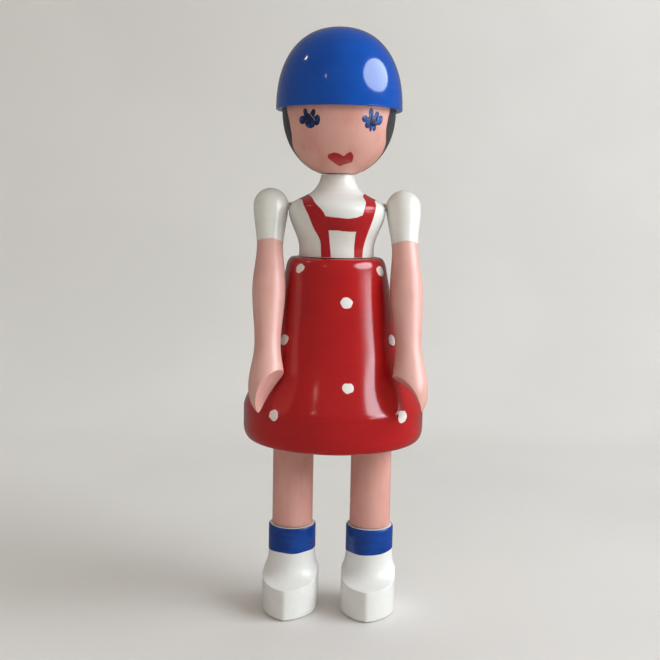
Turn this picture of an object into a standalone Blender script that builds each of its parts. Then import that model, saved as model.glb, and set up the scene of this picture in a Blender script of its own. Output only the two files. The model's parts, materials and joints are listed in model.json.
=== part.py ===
"""Jointed turned-wood girl figurine standing in carved clogs.

Metres, +Z up. The figure faces -Y and stands on Z = 0; the Z axis is the
one that its cap, head, bodice and skirt are turned about. "Left" and
"right" are the figure's own, so its left side is at +X.

Every height is stacked on the piece below it, from the soles to the cap.
"""

import math

import bpy
from mathutils import Matrix, Vector
from mathutils.geometry import interpolate_bezier

MM = 0.001

# Fits
SEAT_GAP = 0.3 * MM  # faces that rest on or are glued to each other
BORE_GAP = 0.3 * MM  # round pieces in their bores, on the radius
HIP_SIDE_GAP = 0.4 * MM  # each leg to the hip block beside it

# Shoes, from the leg's axis
SHOE_HALF_WIDTH = 10.0 * MM
SHOE_TOE_REACH = 18.2 * MM
SHOE_SIDE_REACH = 4.0 * MM  # straight side before the toe draws in
SHOE_TOE_HEIGHT = 11.5 * MM
SHOE_HEIGHT = 31.3 * MM
SOLE_EDGE = 0.7 * MM
ANKLE_RADIUS = 8.64 * MM
ANKLE_BASE_HEIGHT = 22.0 * MM  # where the instep's cove begins
ANKLE_CHAMFER = 0.4 * MM
RIGHT_TOE_TURN = math.radians(-7.0)
LEFT_TOE_TURN = math.radians(-4.5)

# Legs
LEG_X = 14.35 * MM
LEG_RADIUS = 7.45 * MM
LEG_LENGTH = 43.4 * MM  # shoe to hip pin
LEG_TENON_RADIUS = 4.0 * MM
LEG_TENON_LENGTH = 14.0 * MM
HIP_PIN_RADIUS = 1.5 * MM
HIP_PIN_ENTRY = 9.5 * MM  # how far the pin goes into each leg

# Hip block, between the legs
HIP_BLOCK_DEPTH = 13.0 * MM
HIP_BLOCK_DROP = 7.0 * MM  # below the hip pin
HIP_TENON_RADIUS = 5.0 * MM
HIP_TENON_LENGTH = 14.0 * MM
HIP_BLOCK_EDGE = 0.8 * MM

# Skirt
SKIRT_HEIGHT = 65.3 * MM
HIP_INSET = 10.3 * MM  # hip pin above the hem
SKIRT_RIM_RADIUS = 15.6 * MM
SKIRT_ROLL_WIDTH = 2.6 * MM
SKIRT_ROLL_HEIGHT = 6.0 * MM
BELL_SLOPE = 0.19  # spread to drop where the roll ends
BELL_DRAPE = 44.0 * MM  # how far that slope pulls the bell
BELL_SWELL = 5.5 * MM  # how far the upright hem does
HEM_RADIUS = 32.7 * MM
HEM_UPRIGHT_HEIGHT = 10.8 * MM
HEM_ROLL_WIDTH = 2.1 * MM
HEM_ROLL_HEIGHT = 4.8 * MM
HEM_WALL = 2.3 * MM
HOLLOW_DEPTH = 20.8 * MM
HOLLOW_TOP_RADIUS = 23.5 * MM

# Waist dowel
WAIST_DOWEL_RADIUS = 5.0 * MM
WAIST_DOWEL_IN_SKIRT = 17.0 * MM
WAIST_DOWEL_IN_BODICE = 9.0 * MM

# Bodice
BODICE_HEIGHT = 28.9 * MM
WAIST_RADIUS = 13.4 * MM
WAIST_BAND = 2.7 * MM
SHOULDER_RADIUS = 17.3 * MM
SHOULDER_HEIGHT = 16.2 * MM  # widest place, above the waist
NECK_RADIUS = 5.9 * MM
NECK_SWEEP = 9.7 * MM
NECK_SPREAD = 1.5 * MM
SHOULDER_SWEEP = 5.7 * MM
SHOULDER_DRAW = 0.4 * MM

# Neck dowel
NECK_DOWEL_RADIUS = 3.0 * MM
NECK_DOWEL_IN_BODICE = 8.2 * MM
NECK_DOWEL_IN_HEAD = 13.5 * MM

# Head and cap
HEAD_RADIUS = 20.0 * MM
HEAD_DROP = 23.0 * MM  # widest place to the chin, before the seat is cut
HEAD_RISE = 20.0 * MM
HEAD_SQUARENESS = 2.1
HEAD_SEAT_RADIUS = 6.2 * MM
CAP_RADIUS = 22.3 * MM
CAP_HEIGHT = 28.5 * MM
CAP_SQUARENESS = 2.3
CAP_RIM_EDGE = 0.35 * MM

# Arms, measured down the arm from the shoulder pivot
ARM_X = 23.7 * MM
ARM_PIVOT_HEIGHT = 17.7 * MM  # above the waist
RIGHT_ARM_TILT = math.radians(23.5)  # how far the hand rests forward
LEFT_ARM_TILT = math.radians(22.4)
RIGHT_ARM_SPLAY = math.radians(-0.7)  # how far the hand hangs outward
LEFT_ARM_SPLAY = math.radians(1.8)
ARM_SHOULDER_RADIUS = 6.1 * MM
ELBOW_RADIUS = 4.6 * MM
ELBOW_DROP = 15.0 * MM
FOREARM_RADIUS = 5.8 * MM
FOREARM_DROP = 31.5 * MM
WRIST_RADIUS = 4.5 * MM
WRIST_DROP = 51.5 * MM
HAND_RADIUS = 6.2 * MM
HAND_DROP = 66.0 * MM
ARM_LENGTH = 76.5 * MM
PALM_CENTRE_RISE = 0.5 * MM  # above the fingertips
RIGHT_PALM_RADIUS = 17.0 * MM
RIGHT_PALM_CENTRE_OUT = 14.2 * MM
RIGHT_PALM_TURN = math.radians(13.0)
LEFT_PALM_RADIUS = 15.5 * MM
LEFT_PALM_CENTRE_OUT = 11.7 * MM
LEFT_PALM_TURN = math.radians(-8.0)

# Arm elastic, its knots and the plugs over them
CORD_RADIUS = 1.4 * MM
KNOT_RADIUS = 2.6 * MM
KNOT_LENGTH = 3.4 * MM
KNOT_OUT = 0.4 * MM  # centre of the knot, outward of the arm's axis
PLUG_RADIUS = 2.9 * MM
PLUG_FLOOR = 2.5 * MM  # inner face of the plug, outward of the arm's axis

# Facets
SEGMENTS = 40
LIMB_SEGMENTS = 26
PIN_SEGMENTS = 18
MERGE = 0.00001
EDGE_ANGLE = math.radians(28.0)

# Heights that the stack gives
LEG_BASE_Z = SHOE_HEIGHT + SEAT_GAP
HIP_Z = LEG_BASE_Z + LEG_LENGTH
HEM_Z = HIP_Z - HIP_INSET
SKIRT_TOP_Z = HEM_Z + SKIRT_HEIGHT
HOLLOW_TOP_Z = HEM_Z + HOLLOW_DEPTH
WAIST_Z = SKIRT_TOP_Z + SEAT_GAP
NECK_Z = WAIST_Z + BODICE_HEIGHT
HEAD_SEAT_Z = NECK_Z + SEAT_GAP
ARM_PIVOT_Z = WAIST_Z + ARM_PIVOT_HEIGHT


def superellipse(radius, height, power, steps, from_top=True):
    """Quarter outline as (radius, height) pairs, from the axis outward."""
    outline = []
    for i in range(steps + 1):
        angle = 0.5 * math.pi * i / steps
        across = radius * math.sin(angle) ** (2.0 / power) if i else 0.0
        up = height * max(math.cos(angle), 0.0) ** (2.0 / power) if i < steps else 0.0
        outline.append((across, up if from_top else -up))
    return outline


def smoothstep(t):
    """Ease from 0 to 1 with level ends."""
    return t * t * (3.0 - 2.0 * t)


def ogee(extremes, steps):
    """Turned outline through its widest and narrowest places, level at each."""
    outline = [extremes[0]]
    for (r0, z0), (r1, z1) in zip(extremes, extremes[1:]):
        for i in range(1, steps + 1):
            t = i / steps
            outline.append((r0 + (r1 - r0) * smoothstep(t), z0 + (z1 - z0) * t))
    return outline


def lift(outline, height):
    """The same outline, moved up."""
    return [(r, z + height) for r, z in outline]


def collection(name):
    """A new collection in the scene."""
    made = bpy.data.collections.new(name)
    bpy.context.scene.collection.children.link(made)
    return made


def finish(name, colour, roughness, metallic=0.0):
    """A plain material."""
    made = bpy.data.materials.new(name)
    made.use_nodes = True
    shader = made.node_tree.nodes["Principled BSDF"]
    shader.inputs["Base Color"].default_value = (*colour, 1.0)
    shader.inputs["Roughness"].default_value = roughness
    shader.inputs["Metallic"].default_value = metallic
    made.diffuse_color = (*colour, 1.0)
    return made


def place(obj, group, parent=None, at=(0.0, 0.0, 0.0), turn=(0.0, 0.0, 0.0)):
    """Put an object in one collection, on a parent, at a place."""
    for other in list(obj.users_collection):
        other.objects.unlink(obj)
    group.objects.link(obj)
    obj.parent = parent
    obj.location = at
    obj.rotation_euler = turn
    return obj


def turned(name, outline, segments):
    """Solid turned about Z; the outline runs down the outer side."""
    mesh = bpy.data.meshes.new(name)
    mesh.from_pydata(
        [(r, 0.0, z) for r, z in outline],
        [(i, i + 1) for i in range(len(outline) - 1)],
        [],
    )
    obj = bpy.data.objects.new(name, mesh)
    screw = obj.modifiers.new("Turn", "SCREW")
    screw.steps = screw.render_steps = segments
    screw.use_merge_vertices = True
    screw.merge_threshold = MERGE
    screw.use_smooth_shade = True
    return obj


def soften(mesh):
    """Shade a mesh smooth but for its edges."""
    mesh.shade_smooth()
    mesh.set_sharp_from_angle(angle=EDGE_ANGLE)


def rod(name, radius, bottom, top, segments=PIN_SEGMENTS):
    """Plain cylinder along Z, between two heights."""
    bpy.ops.mesh.primitive_cylinder_add(vertices=segments, radius=radius, depth=top - bottom)
    obj = bpy.context.object
    obj.name = obj.data.name = name
    obj.data.transform(Matrix.Translation((0.0, 0.0, 0.5 * (bottom + top))))
    soften(obj.data)
    return obj


def loft(name, rings):
    """Closed solid skinned over rings of equal point count, bottom first."""
    count = len(rings[0])
    faces = [list(range(count - 1, -1, -1))]
    for level in range(len(rings) - 1):
        low = level * count
        for i in range(count):
            j = (i + 1) % count
            faces.append((low + i, low + j, low + count + j, low + count + i))
    faces.append([(len(rings) - 1) * count + i for i in range(count)])
    mesh = bpy.data.meshes.new(name)
    mesh.from_pydata([point for ring in rings for point in ring], [], faces)
    soften(mesh)
    return bpy.data.objects.new(name, mesh)


def as_cutter(obj):
    """Keep an object out of the part and out of the way."""
    obj.hide_render = True
    obj.display_type = "WIRE"
    return obj


def combine(piece, tool, operation="DIFFERENCE"):
    """Boolean of a piece with a tool."""
    step = piece.modifiers.new(tool.name, "BOOLEAN")
    step.operation = operation
    step.object = tool
    return piece


def skirt_outline():
    """Roll at the waist, bell, roll at the hem, then the hollow and bores."""
    roll_base = SKIRT_HEIGHT - SKIRT_ROLL_HEIGHT
    turn = math.atan2(SKIRT_ROLL_WIDTH, BELL_SLOPE * SKIRT_ROLL_HEIGHT)
    outline = []
    for i in range(5):
        angle = turn * i / 4
        outline.append(
            (
                SKIRT_RIM_RADIUS + SKIRT_ROLL_WIDTH * math.sin(angle),
                roll_base + SKIRT_ROLL_HEIGHT * math.cos(angle),
            )
        )
    waist = Vector((outline[-1][0], 0.0, outline[-1][1]))
    upright = Vector((HEM_RADIUS, 0.0, HEM_UPRIGHT_HEIGHT))
    bell = interpolate_bezier(
        waist,
        waist + Vector((BELL_SLOPE * BELL_DRAPE, 0.0, -BELL_DRAPE)),
        upright + Vector((0.0, 0.0, BELL_SWELL)),
        upright,
        15,
    )
    outline += [(point.x, point.z) for point in bell[1:]]
    roll = superellipse(HEM_ROLL_WIDTH, HEM_ROLL_HEIGHT, 2.0, 4, from_top=False)
    outline += [(HEM_RADIUS - HEM_ROLL_WIDTH + r, HEM_ROLL_HEIGHT + z) for r, z in reversed(roll)]

    hollow_radius = HEM_RADIUS - HEM_ROLL_WIDTH - HEM_WALL
    outline += ogee([(hollow_radius, 0.0), (HOLLOW_TOP_RADIUS, HOLLOW_DEPTH)], 4)
    bore = HIP_TENON_RADIUS + BORE_GAP
    bore_top = HOLLOW_DEPTH + HIP_TENON_LENGTH
    outline += [(bore, HOLLOW_DEPTH), (bore, bore_top), (0.0, bore_top)]

    bore = WAIST_DOWEL_RADIUS + BORE_GAP
    floor = SKIRT_HEIGHT - WAIST_DOWEL_IN_SKIRT - SEAT_GAP
    return [(0.0, floor), (bore, floor), (bore, SKIRT_HEIGHT)] + outline


def bodice_outline():
    """Neck, shoulders and waist, with a blind bore at each end."""
    neck = Vector((NECK_RADIUS, 0.0, BODICE_HEIGHT))
    widest = Vector((SHOULDER_RADIUS, 0.0, SHOULDER_HEIGHT))
    sweep = interpolate_bezier(
        neck,
        neck + Vector((NECK_SPREAD, 0.0, -NECK_SWEEP)),
        widest + Vector((-SHOULDER_DRAW, 0.0, SHOULDER_SWEEP)),
        widest,
        12,
    )
    bore = NECK_DOWEL_RADIUS + BORE_GAP
    floor = BODICE_HEIGHT - NECK_DOWEL_IN_BODICE - SEAT_GAP
    outline = [(0.0, floor), (bore, floor), (bore, BODICE_HEIGHT)]
    outline += [(point.x, point.z) for point in sweep]
    outline += ogee([(SHOULDER_RADIUS, SHOULDER_HEIGHT), (WAIST_RADIUS, WAIST_BAND)], 7)[1:]
    bore = WAIST_DOWEL_RADIUS + BORE_GAP
    top = WAIST_DOWEL_IN_BODICE + SEAT_GAP
    return outline + [(WAIST_RADIUS, 0.0), (bore, 0.0), (bore, top), (0.0, top)]


def head_rim_height():
    """Widest place of the head, above its seat on the neck."""
    share = 1.0 - (HEAD_SEAT_RADIUS / HEAD_RADIUS) ** HEAD_SQUARENESS
    return HEAD_DROP * share ** (1.0 / HEAD_SQUARENESS)


def head_outline():
    """Egg that the cap covers down to its widest place, with a dowel bore."""
    rim = head_rim_height()
    outline = lift(superellipse(HEAD_RADIUS, HEAD_RISE, HEAD_SQUARENESS, 9), rim)
    steps = 9
    chin = math.asin((HEAD_SEAT_RADIUS / HEAD_RADIUS) ** (0.5 * HEAD_SQUARENESS))
    for i in range(1, steps + 1):
        angle = 0.5 * math.pi + (chin - 0.5 * math.pi) * i / steps
        across = HEAD_RADIUS * math.sin(angle) ** (2.0 / HEAD_SQUARENESS)
        down = HEAD_DROP * math.cos(angle) ** (2.0 / HEAD_SQUARENESS)
        outline.append((across, rim - down if i < steps else 0.0))
    bore = NECK_DOWEL_RADIUS + BORE_GAP
    top = NECK_DOWEL_IN_HEAD + SEAT_GAP
    return outline + [(bore, 0.0), (bore, top), (0.0, top)]


def cap_outline():
    """Domed shell whose hollow follows the head."""
    outline = superellipse(CAP_RADIUS, CAP_HEIGHT, CAP_SQUARENESS, 13)[:-1]
    outline += [(CAP_RADIUS, CAP_RIM_EDGE), (CAP_RADIUS - CAP_RIM_EDGE, 0.0)]
    hollow = superellipse(HEAD_RADIUS + SEAT_GAP, HEAD_RISE + SEAT_GAP, HEAD_SQUARENESS, 9)
    return outline + hollow[::-1]


def leg_outline():
    """Round hip about the pin, dowel, and a tenon for the shoe."""
    outline = superellipse(LEG_RADIUS, LEG_RADIUS, 2.0, 6)
    return outline + [
        (LEG_RADIUS, -LEG_LENGTH),
        (LEG_TENON_RADIUS, -LEG_LENGTH),
        (LEG_TENON_RADIUS, -LEG_LENGTH - LEG_TENON_LENGTH),
        (0.0, -LEG_LENGTH - LEG_TENON_LENGTH),
    ]


def arm_outline():
    """Shoulder ball, elbow, forearm, wrist and the egg the hand is cut from."""
    outline = superellipse(ARM_SHOULDER_RADIUS, ARM_SHOULDER_RADIUS, 2.0, 5)
    outline += ogee(
        [
            (ARM_SHOULDER_RADIUS, 0.0),
            (ELBOW_RADIUS, -ELBOW_DROP),
            (FOREARM_RADIUS, -FOREARM_DROP),
            (WRIST_RADIUS, -WRIST_DROP),
            (HAND_RADIUS, -HAND_DROP),
        ],
        4,
    )[1:]
    tip = superellipse(HAND_RADIUS, ARM_LENGTH - HAND_DROP, 2.0, 6, from_top=False)
    return outline + lift(tip[::-1][1:], -HAND_DROP)


def shoe_plan():
    """Round heel, straight sides and a toe drawn in to a soft ridge."""
    arc = 9
    reach = SHOE_TOE_REACH - SHOE_SIDE_REACH
    radius = (SHOE_HALF_WIDTH**2 + reach**2) / (2.0 * SHOE_HALF_WIDTH)
    sweep = math.asin(reach / radius)
    side = []
    for i in range(arc + 1):
        angle = sweep * i / arc
        side.append(
            (
                SHOE_HALF_WIDTH - radius + radius * math.cos(angle),
                -SHOE_SIDE_REACH - radius * math.sin(angle),
            )
        )
    heel = [
        (SHOE_HALF_WIDTH * math.cos(angle), SHOE_HALF_WIDTH * math.sin(angle))
        for angle in (math.pi * i / 14 for i in range(15))
    ]
    left = [(-x, y) for x, y in side[:-1]]
    return heel + left + side[::-1]


def shoe_rings():
    """Sole and upright walls of the block that the shoe is cut from."""

    def ring(height, inset=0.0):
        points = []
        for x, y in shoe_plan():
            away = math.hypot(x, y)
            points.append((x * (1.0 - inset / away), y * (1.0 - inset / away), height))
        return points

    return [ring(0.0, SOLE_EDGE), ring(SOLE_EDGE), ring(SHOE_HEIGHT + SEAT_GAP)]


def shoe_turning():
    """Ankle, and the cove round it that opens onto the toe."""
    reach = SHOE_TOE_REACH + SEAT_GAP
    outline = [
        (0.0, SHOE_HEIGHT),
        (ANKLE_RADIUS - ANKLE_CHAMFER, SHOE_HEIGHT),
        (ANKLE_RADIUS, SHOE_HEIGHT - ANKLE_CHAMFER),
    ]
    steps = 9
    for i in range(steps + 1):
        angle = 0.5 * math.pi * i / steps
        outline.append(
            (
                reach - (reach - ANKLE_RADIUS) * math.cos(angle),
                ANKLE_BASE_HEIGHT - (ANKLE_BASE_HEIGHT - SHOE_TOE_HEIGHT) * math.sin(angle),
            )
        )
    return outline + [(reach, -SEAT_GAP), (0.0, -SEAT_GAP)]


def make_leg(side, name, toe_turn, group, tools):
    """One leg on the hip pin, and the shoe on its tenon."""
    leg = turned(f"{name}_leg", leg_outline(), LIMB_SEGMENTS)
    place(leg, group, None, (side * LEG_X, 0.0, HIP_Z))
    inner = -side * (LEG_RADIUS + SEAT_GAP)
    blind = inner + side * (SEAT_GAP + HIP_PIN_ENTRY + SEAT_GAP)
    low, high = sorted((inner, blind))
    bore = as_cutter(rod(f"{name}_hip_bore", HIP_PIN_RADIUS + BORE_GAP, low, high))
    place(bore, tools, leg, turn=(0.0, 0.5 * math.pi, 0.0))
    combine(leg, bore)

    shoe = loft(f"{name}_shoe", shoe_rings())
    place(shoe, group, leg, (0.0, 0.0, -HIP_Z), (0.0, 0.0, toe_turn))
    cove = as_cutter(turned(f"{name}_cove", shoe_turning(), SEGMENTS))
    place(cove, tools, shoe)
    combine(shoe, cove, "INTERSECT")
    floor = SHOE_HEIGHT - LEG_TENON_LENGTH
    socket = as_cutter(
        rod(f"{name}_socket", LEG_TENON_RADIUS + BORE_GAP, floor, SHOE_HEIGHT + SEAT_GAP)
    )
    place(socket, tools, shoe)
    combine(shoe, socket)
    return leg, shoe


def make_arm(side, name, hang, palm, group, tools):
    """One arm on the elastic, and the plug that closes its knot's pocket."""
    tilt, splay = hang
    palm_radius, palm_out, palm_turn = palm
    pivot = bpy.data.objects.new(f"{name}_shoulder_pivot", None)
    place(pivot, group, None, (side * ARM_X, 0.0, ARM_PIVOT_Z), (-tilt, 0.0, 0.0))
    arm = turned(f"{name}_arm", arm_outline(), LIMB_SEGMENTS)
    place(arm, group, pivot, turn=(0.0, -side * splay, 0.0))

    facing = palm_turn + math.pi if side > 0 else -palm_turn
    centre = (
        palm_out * math.cos(facing),
        palm_out * math.sin(facing),
        -ARM_LENGTH + PALM_CENTRE_RISE,
    )
    half = 2.0 * HAND_RADIUS
    scoop = as_cutter(rod(f"{name}_palm", palm_radius, -half, half, 72))
    place(scoop, tools, arm, centre, (0.5 * math.pi, 0.0, facing))
    combine(arm, scoop)

    across = (0.0, side * 0.5 * math.pi, 0.0)
    beyond = ARM_SHOULDER_RADIUS + SEAT_GAP
    floor = KNOT_OUT - 0.5 * KNOT_LENGTH - SEAT_GAP
    bore = as_cutter(rod(f"{name}_cord_bore", CORD_RADIUS + BORE_GAP, -beyond, beyond))
    pocket = as_cutter(rod(f"{name}_knot_pocket", PLUG_RADIUS + BORE_GAP, floor, beyond))
    for tool in (bore, pocket):
        place(tool, tools, pivot, turn=across)
        combine(arm, tool)

    blank = as_cutter(turned(f"{name}_arm_blank", arm_outline(), LIMB_SEGMENTS))
    place(blank, tools, arm)
    plug = rod(f"{name}_shoulder_plug", PLUG_RADIUS, PLUG_FLOOR, beyond)
    place(plug, group, pivot, turn=across)
    combine(plug, blank, "INTERSECT")
    return arm, plug


def make_elastic():
    """Cord across the shoulders with a knot at each end."""
    out = ARM_X + KNOT_OUT
    half = 0.5 * KNOT_LENGTH
    neck = math.asin(CORD_RADIUS / KNOT_RADIUS)
    steps = 6
    knot = []
    for i in range(steps + 1):
        angle = (math.pi - neck) * i / steps
        knot.append((KNOT_RADIUS * math.sin(angle), out + half * math.cos(angle)))
    return turned("arm_elastic", knot + [(r, -z) for r, z in reversed(knot)], PIN_SEGMENTS)


def make_hip_block(tools):
    """Block between the legs, with a tenon for the skirt and a pin bore."""
    width = 2.0 * (LEG_X - LEG_RADIUS - HIP_SIDE_GAP)
    top = HOLLOW_TOP_Z - HIP_Z - SEAT_GAP
    height = top + HIP_BLOCK_DROP
    bpy.ops.mesh.primitive_cube_add(size=1.0)
    block = bpy.context.object
    block.name = block.data.name = "hip_block"
    block.data.transform(Matrix.Diagonal((width, HIP_BLOCK_DEPTH, height, 1.0)))
    block.data.transform(Matrix.Translation((0.0, 0.0, top - 0.5 * height)))
    bevel = block.modifiers.new("Edges", "BEVEL")
    bevel.width = HIP_BLOCK_EDGE
    bevel.segments = 1

    tenon = as_cutter(
        rod("hip_tenon", HIP_TENON_RADIUS, 0.5 * top, top + HIP_TENON_LENGTH, LIMB_SEGMENTS)
    )
    place(tenon, tools, block)
    combine(block, tenon, "UNION")
    bore = as_cutter(rod("hip_block_bore", HIP_PIN_RADIUS + BORE_GAP, -LEG_X, LEG_X))
    place(bore, tools, block, turn=(0.0, 0.5 * math.pi, 0.0))
    combine(block, bore)
    return block


def coat(pieces, material):
    """Give pieces their material."""
    for piece in pieces:
        piece.data.materials.append(material)


def main():
    for obj in list(bpy.data.objects):
        bpy.data.objects.remove(obj)
    group = collection("turned_girl_figurine")
    tools = collection("cutters")

    skin = finish("flesh_enamel", (0.62, 0.32, 0.26), 0.35)
    white = finish("ivory_enamel", (0.76, 0.73, 0.66), 0.3)
    red = finish("red_enamel", (0.36, 0.012, 0.014), 0.2)
    blue = finish("blue_enamel", (0.008, 0.075, 0.38), 0.2)
    wood = finish("beech", (0.55, 0.38, 0.22), 0.6)
    rubber = finish("elastic_cord", (0.5, 0.44, 0.34), 0.8)
    steel = finish("steel_pin", (0.6, 0.6, 0.6), 0.35, 1.0)

    skirt = place(turned("skirt", skirt_outline(), SEGMENTS), group, at=(0.0, 0.0, HEM_Z))

    bodice = place(turned("bodice", bodice_outline(), SEGMENTS), group, at=(0.0, 0.0, WAIST_Z))
    cross_bore = as_cutter(
        rod("arm_cross_bore", CORD_RADIUS + BORE_GAP, -ARM_X, ARM_X)
    )
    place(cross_bore, tools, bodice, (0.0, 0.0, ARM_PIVOT_HEIGHT), (0.0, 0.5 * math.pi, 0.0))
    combine(bodice, cross_bore)

    waist_dowel = rod(
        "waist_dowel", WAIST_DOWEL_RADIUS, -WAIST_DOWEL_IN_SKIRT, SEAT_GAP + WAIST_DOWEL_IN_BODICE
    )
    place(waist_dowel, group, at=(0.0, 0.0, SKIRT_TOP_Z))
    neck_dowel = rod(
        "neck_dowel", NECK_DOWEL_RADIUS, -NECK_DOWEL_IN_BODICE, SEAT_GAP + NECK_DOWEL_IN_HEAD
    )
    place(neck_dowel, group, at=(0.0, 0.0, NECK_Z))

    head = place(turned("head", head_outline(), SEGMENTS), group, at=(0.0, 0.0, HEAD_SEAT_Z))
    cap = turned("cap", cap_outline(), SEGMENTS)
    place(cap, group, head, (0.0, 0.0, head_rim_height()))

    hip_block = place(make_hip_block(tools), group, at=(0.0, 0.0, HIP_Z))
    reach = LEG_X - LEG_RADIUS + HIP_PIN_ENTRY
    hip_pin = rod("hip_pin", HIP_PIN_RADIUS, -reach, reach)
    place(hip_pin, group, at=(0.0, 0.0, HIP_Z), turn=(0.0, 0.5 * math.pi, 0.0))
    elastic = make_elastic()
    place(elastic, group, at=(0.0, 0.0, ARM_PIVOT_Z), turn=(0.0, 0.5 * math.pi, 0.0))

    right_leg, right_shoe = make_leg(-1.0, "right", RIGHT_TOE_TURN, group, tools)
    left_leg, left_shoe = make_leg(1.0, "left", LEFT_TOE_TURN, group, tools)
    right_arm, right_plug = make_arm(
        -1.0,
        "right",
        (RIGHT_ARM_TILT, RIGHT_ARM_SPLAY),
        (RIGHT_PALM_RADIUS, RIGHT_PALM_CENTRE_OUT, RIGHT_PALM_TURN),
        group,
        tools,
    )
    left_arm, left_plug = make_arm(
        1.0,
        "left",
        (LEFT_ARM_TILT, LEFT_ARM_SPLAY),
        (LEFT_PALM_RADIUS, LEFT_PALM_CENTRE_OUT, LEFT_PALM_TURN),
        group,
        tools,
    )

    coat((head, right_arm, left_arm, right_leg, left_leg), skin)
    coat((bodice, right_plug, left_plug, right_shoe, left_shoe), white)
    coat((skirt,), red)
    coat((cap,), blue)
    coat((waist_dowel, neck_dowel, hip_block), wood)
    coat((elastic,), rubber)
    coat((hip_pin,), steel)


main()
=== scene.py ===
"""Looks for the jointed turned-wood girl figurine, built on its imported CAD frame.

The frame is in metres, +Z up. The figure faces -Y, and "left" and "right"
are its own. Sizes here are millimetres until a mesh is made. A place on a
turned piece is a bearing, in degrees round from the front towards the
figure's left, and a height above the floor.
"""

from __future__ import annotations

import json
import logging
import math
import random
from collections.abc import Callable, Sequence
from dataclasses import dataclass, replace
from enum import Enum
from functools import cached_property

import bpy
from mathutils import Matrix, Vector
from mathutils.geometry import interpolate_bezier

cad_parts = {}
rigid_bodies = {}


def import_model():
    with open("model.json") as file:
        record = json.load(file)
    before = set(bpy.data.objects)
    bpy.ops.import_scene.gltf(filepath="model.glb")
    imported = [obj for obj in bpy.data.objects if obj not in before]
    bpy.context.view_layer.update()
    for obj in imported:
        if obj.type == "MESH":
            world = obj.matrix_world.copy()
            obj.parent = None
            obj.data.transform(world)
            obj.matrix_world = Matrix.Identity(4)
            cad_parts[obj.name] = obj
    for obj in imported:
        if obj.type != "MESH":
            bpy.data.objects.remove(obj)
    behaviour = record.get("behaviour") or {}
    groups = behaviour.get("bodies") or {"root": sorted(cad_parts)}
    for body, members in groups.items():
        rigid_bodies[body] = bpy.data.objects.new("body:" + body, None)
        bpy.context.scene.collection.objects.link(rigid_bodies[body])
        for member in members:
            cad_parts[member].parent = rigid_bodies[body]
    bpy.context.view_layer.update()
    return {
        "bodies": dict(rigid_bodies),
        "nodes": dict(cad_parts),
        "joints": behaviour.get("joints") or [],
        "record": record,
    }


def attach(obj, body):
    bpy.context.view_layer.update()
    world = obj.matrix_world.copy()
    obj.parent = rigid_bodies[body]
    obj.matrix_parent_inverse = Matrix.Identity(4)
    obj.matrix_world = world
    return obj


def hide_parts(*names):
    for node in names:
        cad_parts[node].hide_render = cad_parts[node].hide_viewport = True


LOG = logging.getLogger("turned_girl")

MM = 0.001
TAU = 2.0 * math.pi
QUARTER = 0.5 * math.pi
CUT_MARGIN = 0.3
DISC_RINGS = (0.06, 0.12, 0.22, 0.25, 0.2)
WELD = 0.000002
EDGE_ANGLE = math.radians(35.0)

Pair = tuple[float, float]
Triple = tuple[float, float, float]
Colour = tuple[float, float, float, float]
Line = tuple[Pair, ...]
Mark = tuple[float, float, float, float, float]
Outline = list[Pair]
Spot = Callable[[float, float], Vector]
Piece = bpy.types.Object
Socket = bpy.types.NodeSocket
Material = bpy.types.Material


class Body(Enum):
    """Bodies of the frame."""

    TRUNK = "body"
    HEAD = "head"


class Slot(Enum):
    """Material slots of the record."""

    FLESH = "flesh_enamel"
    IVORY = "ivory_enamel"
    RED = "red_enamel"
    BLUE = "blue_enamel"
    BEECH = "beech"
    ELASTIC = "elastic_cord"
    STEEL = "steel_pin"


class Side(Enum):
    """The figure's own sides, as the sign of X."""

    RIGHT = -1
    LEFT = 1

    @property
    def label(self) -> str:
        """The side's name, as nodes and bodies spell it."""
        return self.name.lower()


# Plain geometry


def smoothstep(share: float) -> float:
    """Ease from 0 to 1 with level ends."""
    share = min(max(share, 0.0), 1.0)
    return share * share * (3.0 - 2.0 * share)


def fan(angle: float, steps: int) -> list[float]:
    """Angles from 0 up to the given one, evenly apart."""
    return [angle * i / steps for i in range(steps + 1)]


def superellipse(radius: float, height: float, power: float, steps: int) -> Outline:
    """Quarter outline from the axis, at the given height, out to the radius.

    Args:
        radius: Reach at height zero.
        height: Height on the axis, negative to hang down.
        power: Squareness; 2 is an ellipse.
        steps: Number of spans.

    Returns:
        Radius and height pairs.
    """
    bend = 2.0 / power
    return [
        (radius * math.sin(a) ** bend, height * math.cos(a) ** bend)
        for a in fan(QUARTER, steps)[:-1]
    ] + [(radius, 0.0)]


def ogee(extremes: Sequence[Pair], steps: int) -> Outline:
    """Turned outline through its widest and narrowest places, level at each.

    Args:
        extremes: Radius and height of each place.
        steps: Spans between two places.

    Returns:
        Radius and height pairs.
    """
    outline = [extremes[0]]
    for (r0, z0), (r1, z1) in zip(extremes, extremes[1:]):
        for i in range(1, steps + 1):
            share = i / steps
            outline.append((r0 + (r1 - r0) * smoothstep(share), z0 + (z1 - z0) * share))
    return outline


def lifted(outline: Outline, height: float) -> Outline:
    """The same outline, moved up."""
    return [(r, z + height) for r, z in outline]


def bored(radius: float, mouth: float, depth: float) -> Outline:
    """Outline of a round hole from its mouth in to the axis; a depth below zero goes down."""
    return [(radius, mouth), (radius, mouth + depth), (0.0, mouth + depth)]


def radius_on(outline: Outline, height: float) -> float:
    """Radius of an outline at a height.

    Args:
        outline: Radius and height pairs that run down the outer side.
        height: Where to read it.

    Returns:
        The radius between the two nearest points.
    """
    for (r0, z0), (r1, z1) in zip(outline, outline[1:]):
        if z1 <= height <= z0 and z0 > z1:
            return r0 + (r1 - r0) * (z0 - height) / (z0 - z1)
    return outline[0][0] if height > outline[0][1] else outline[-1][0]


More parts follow.
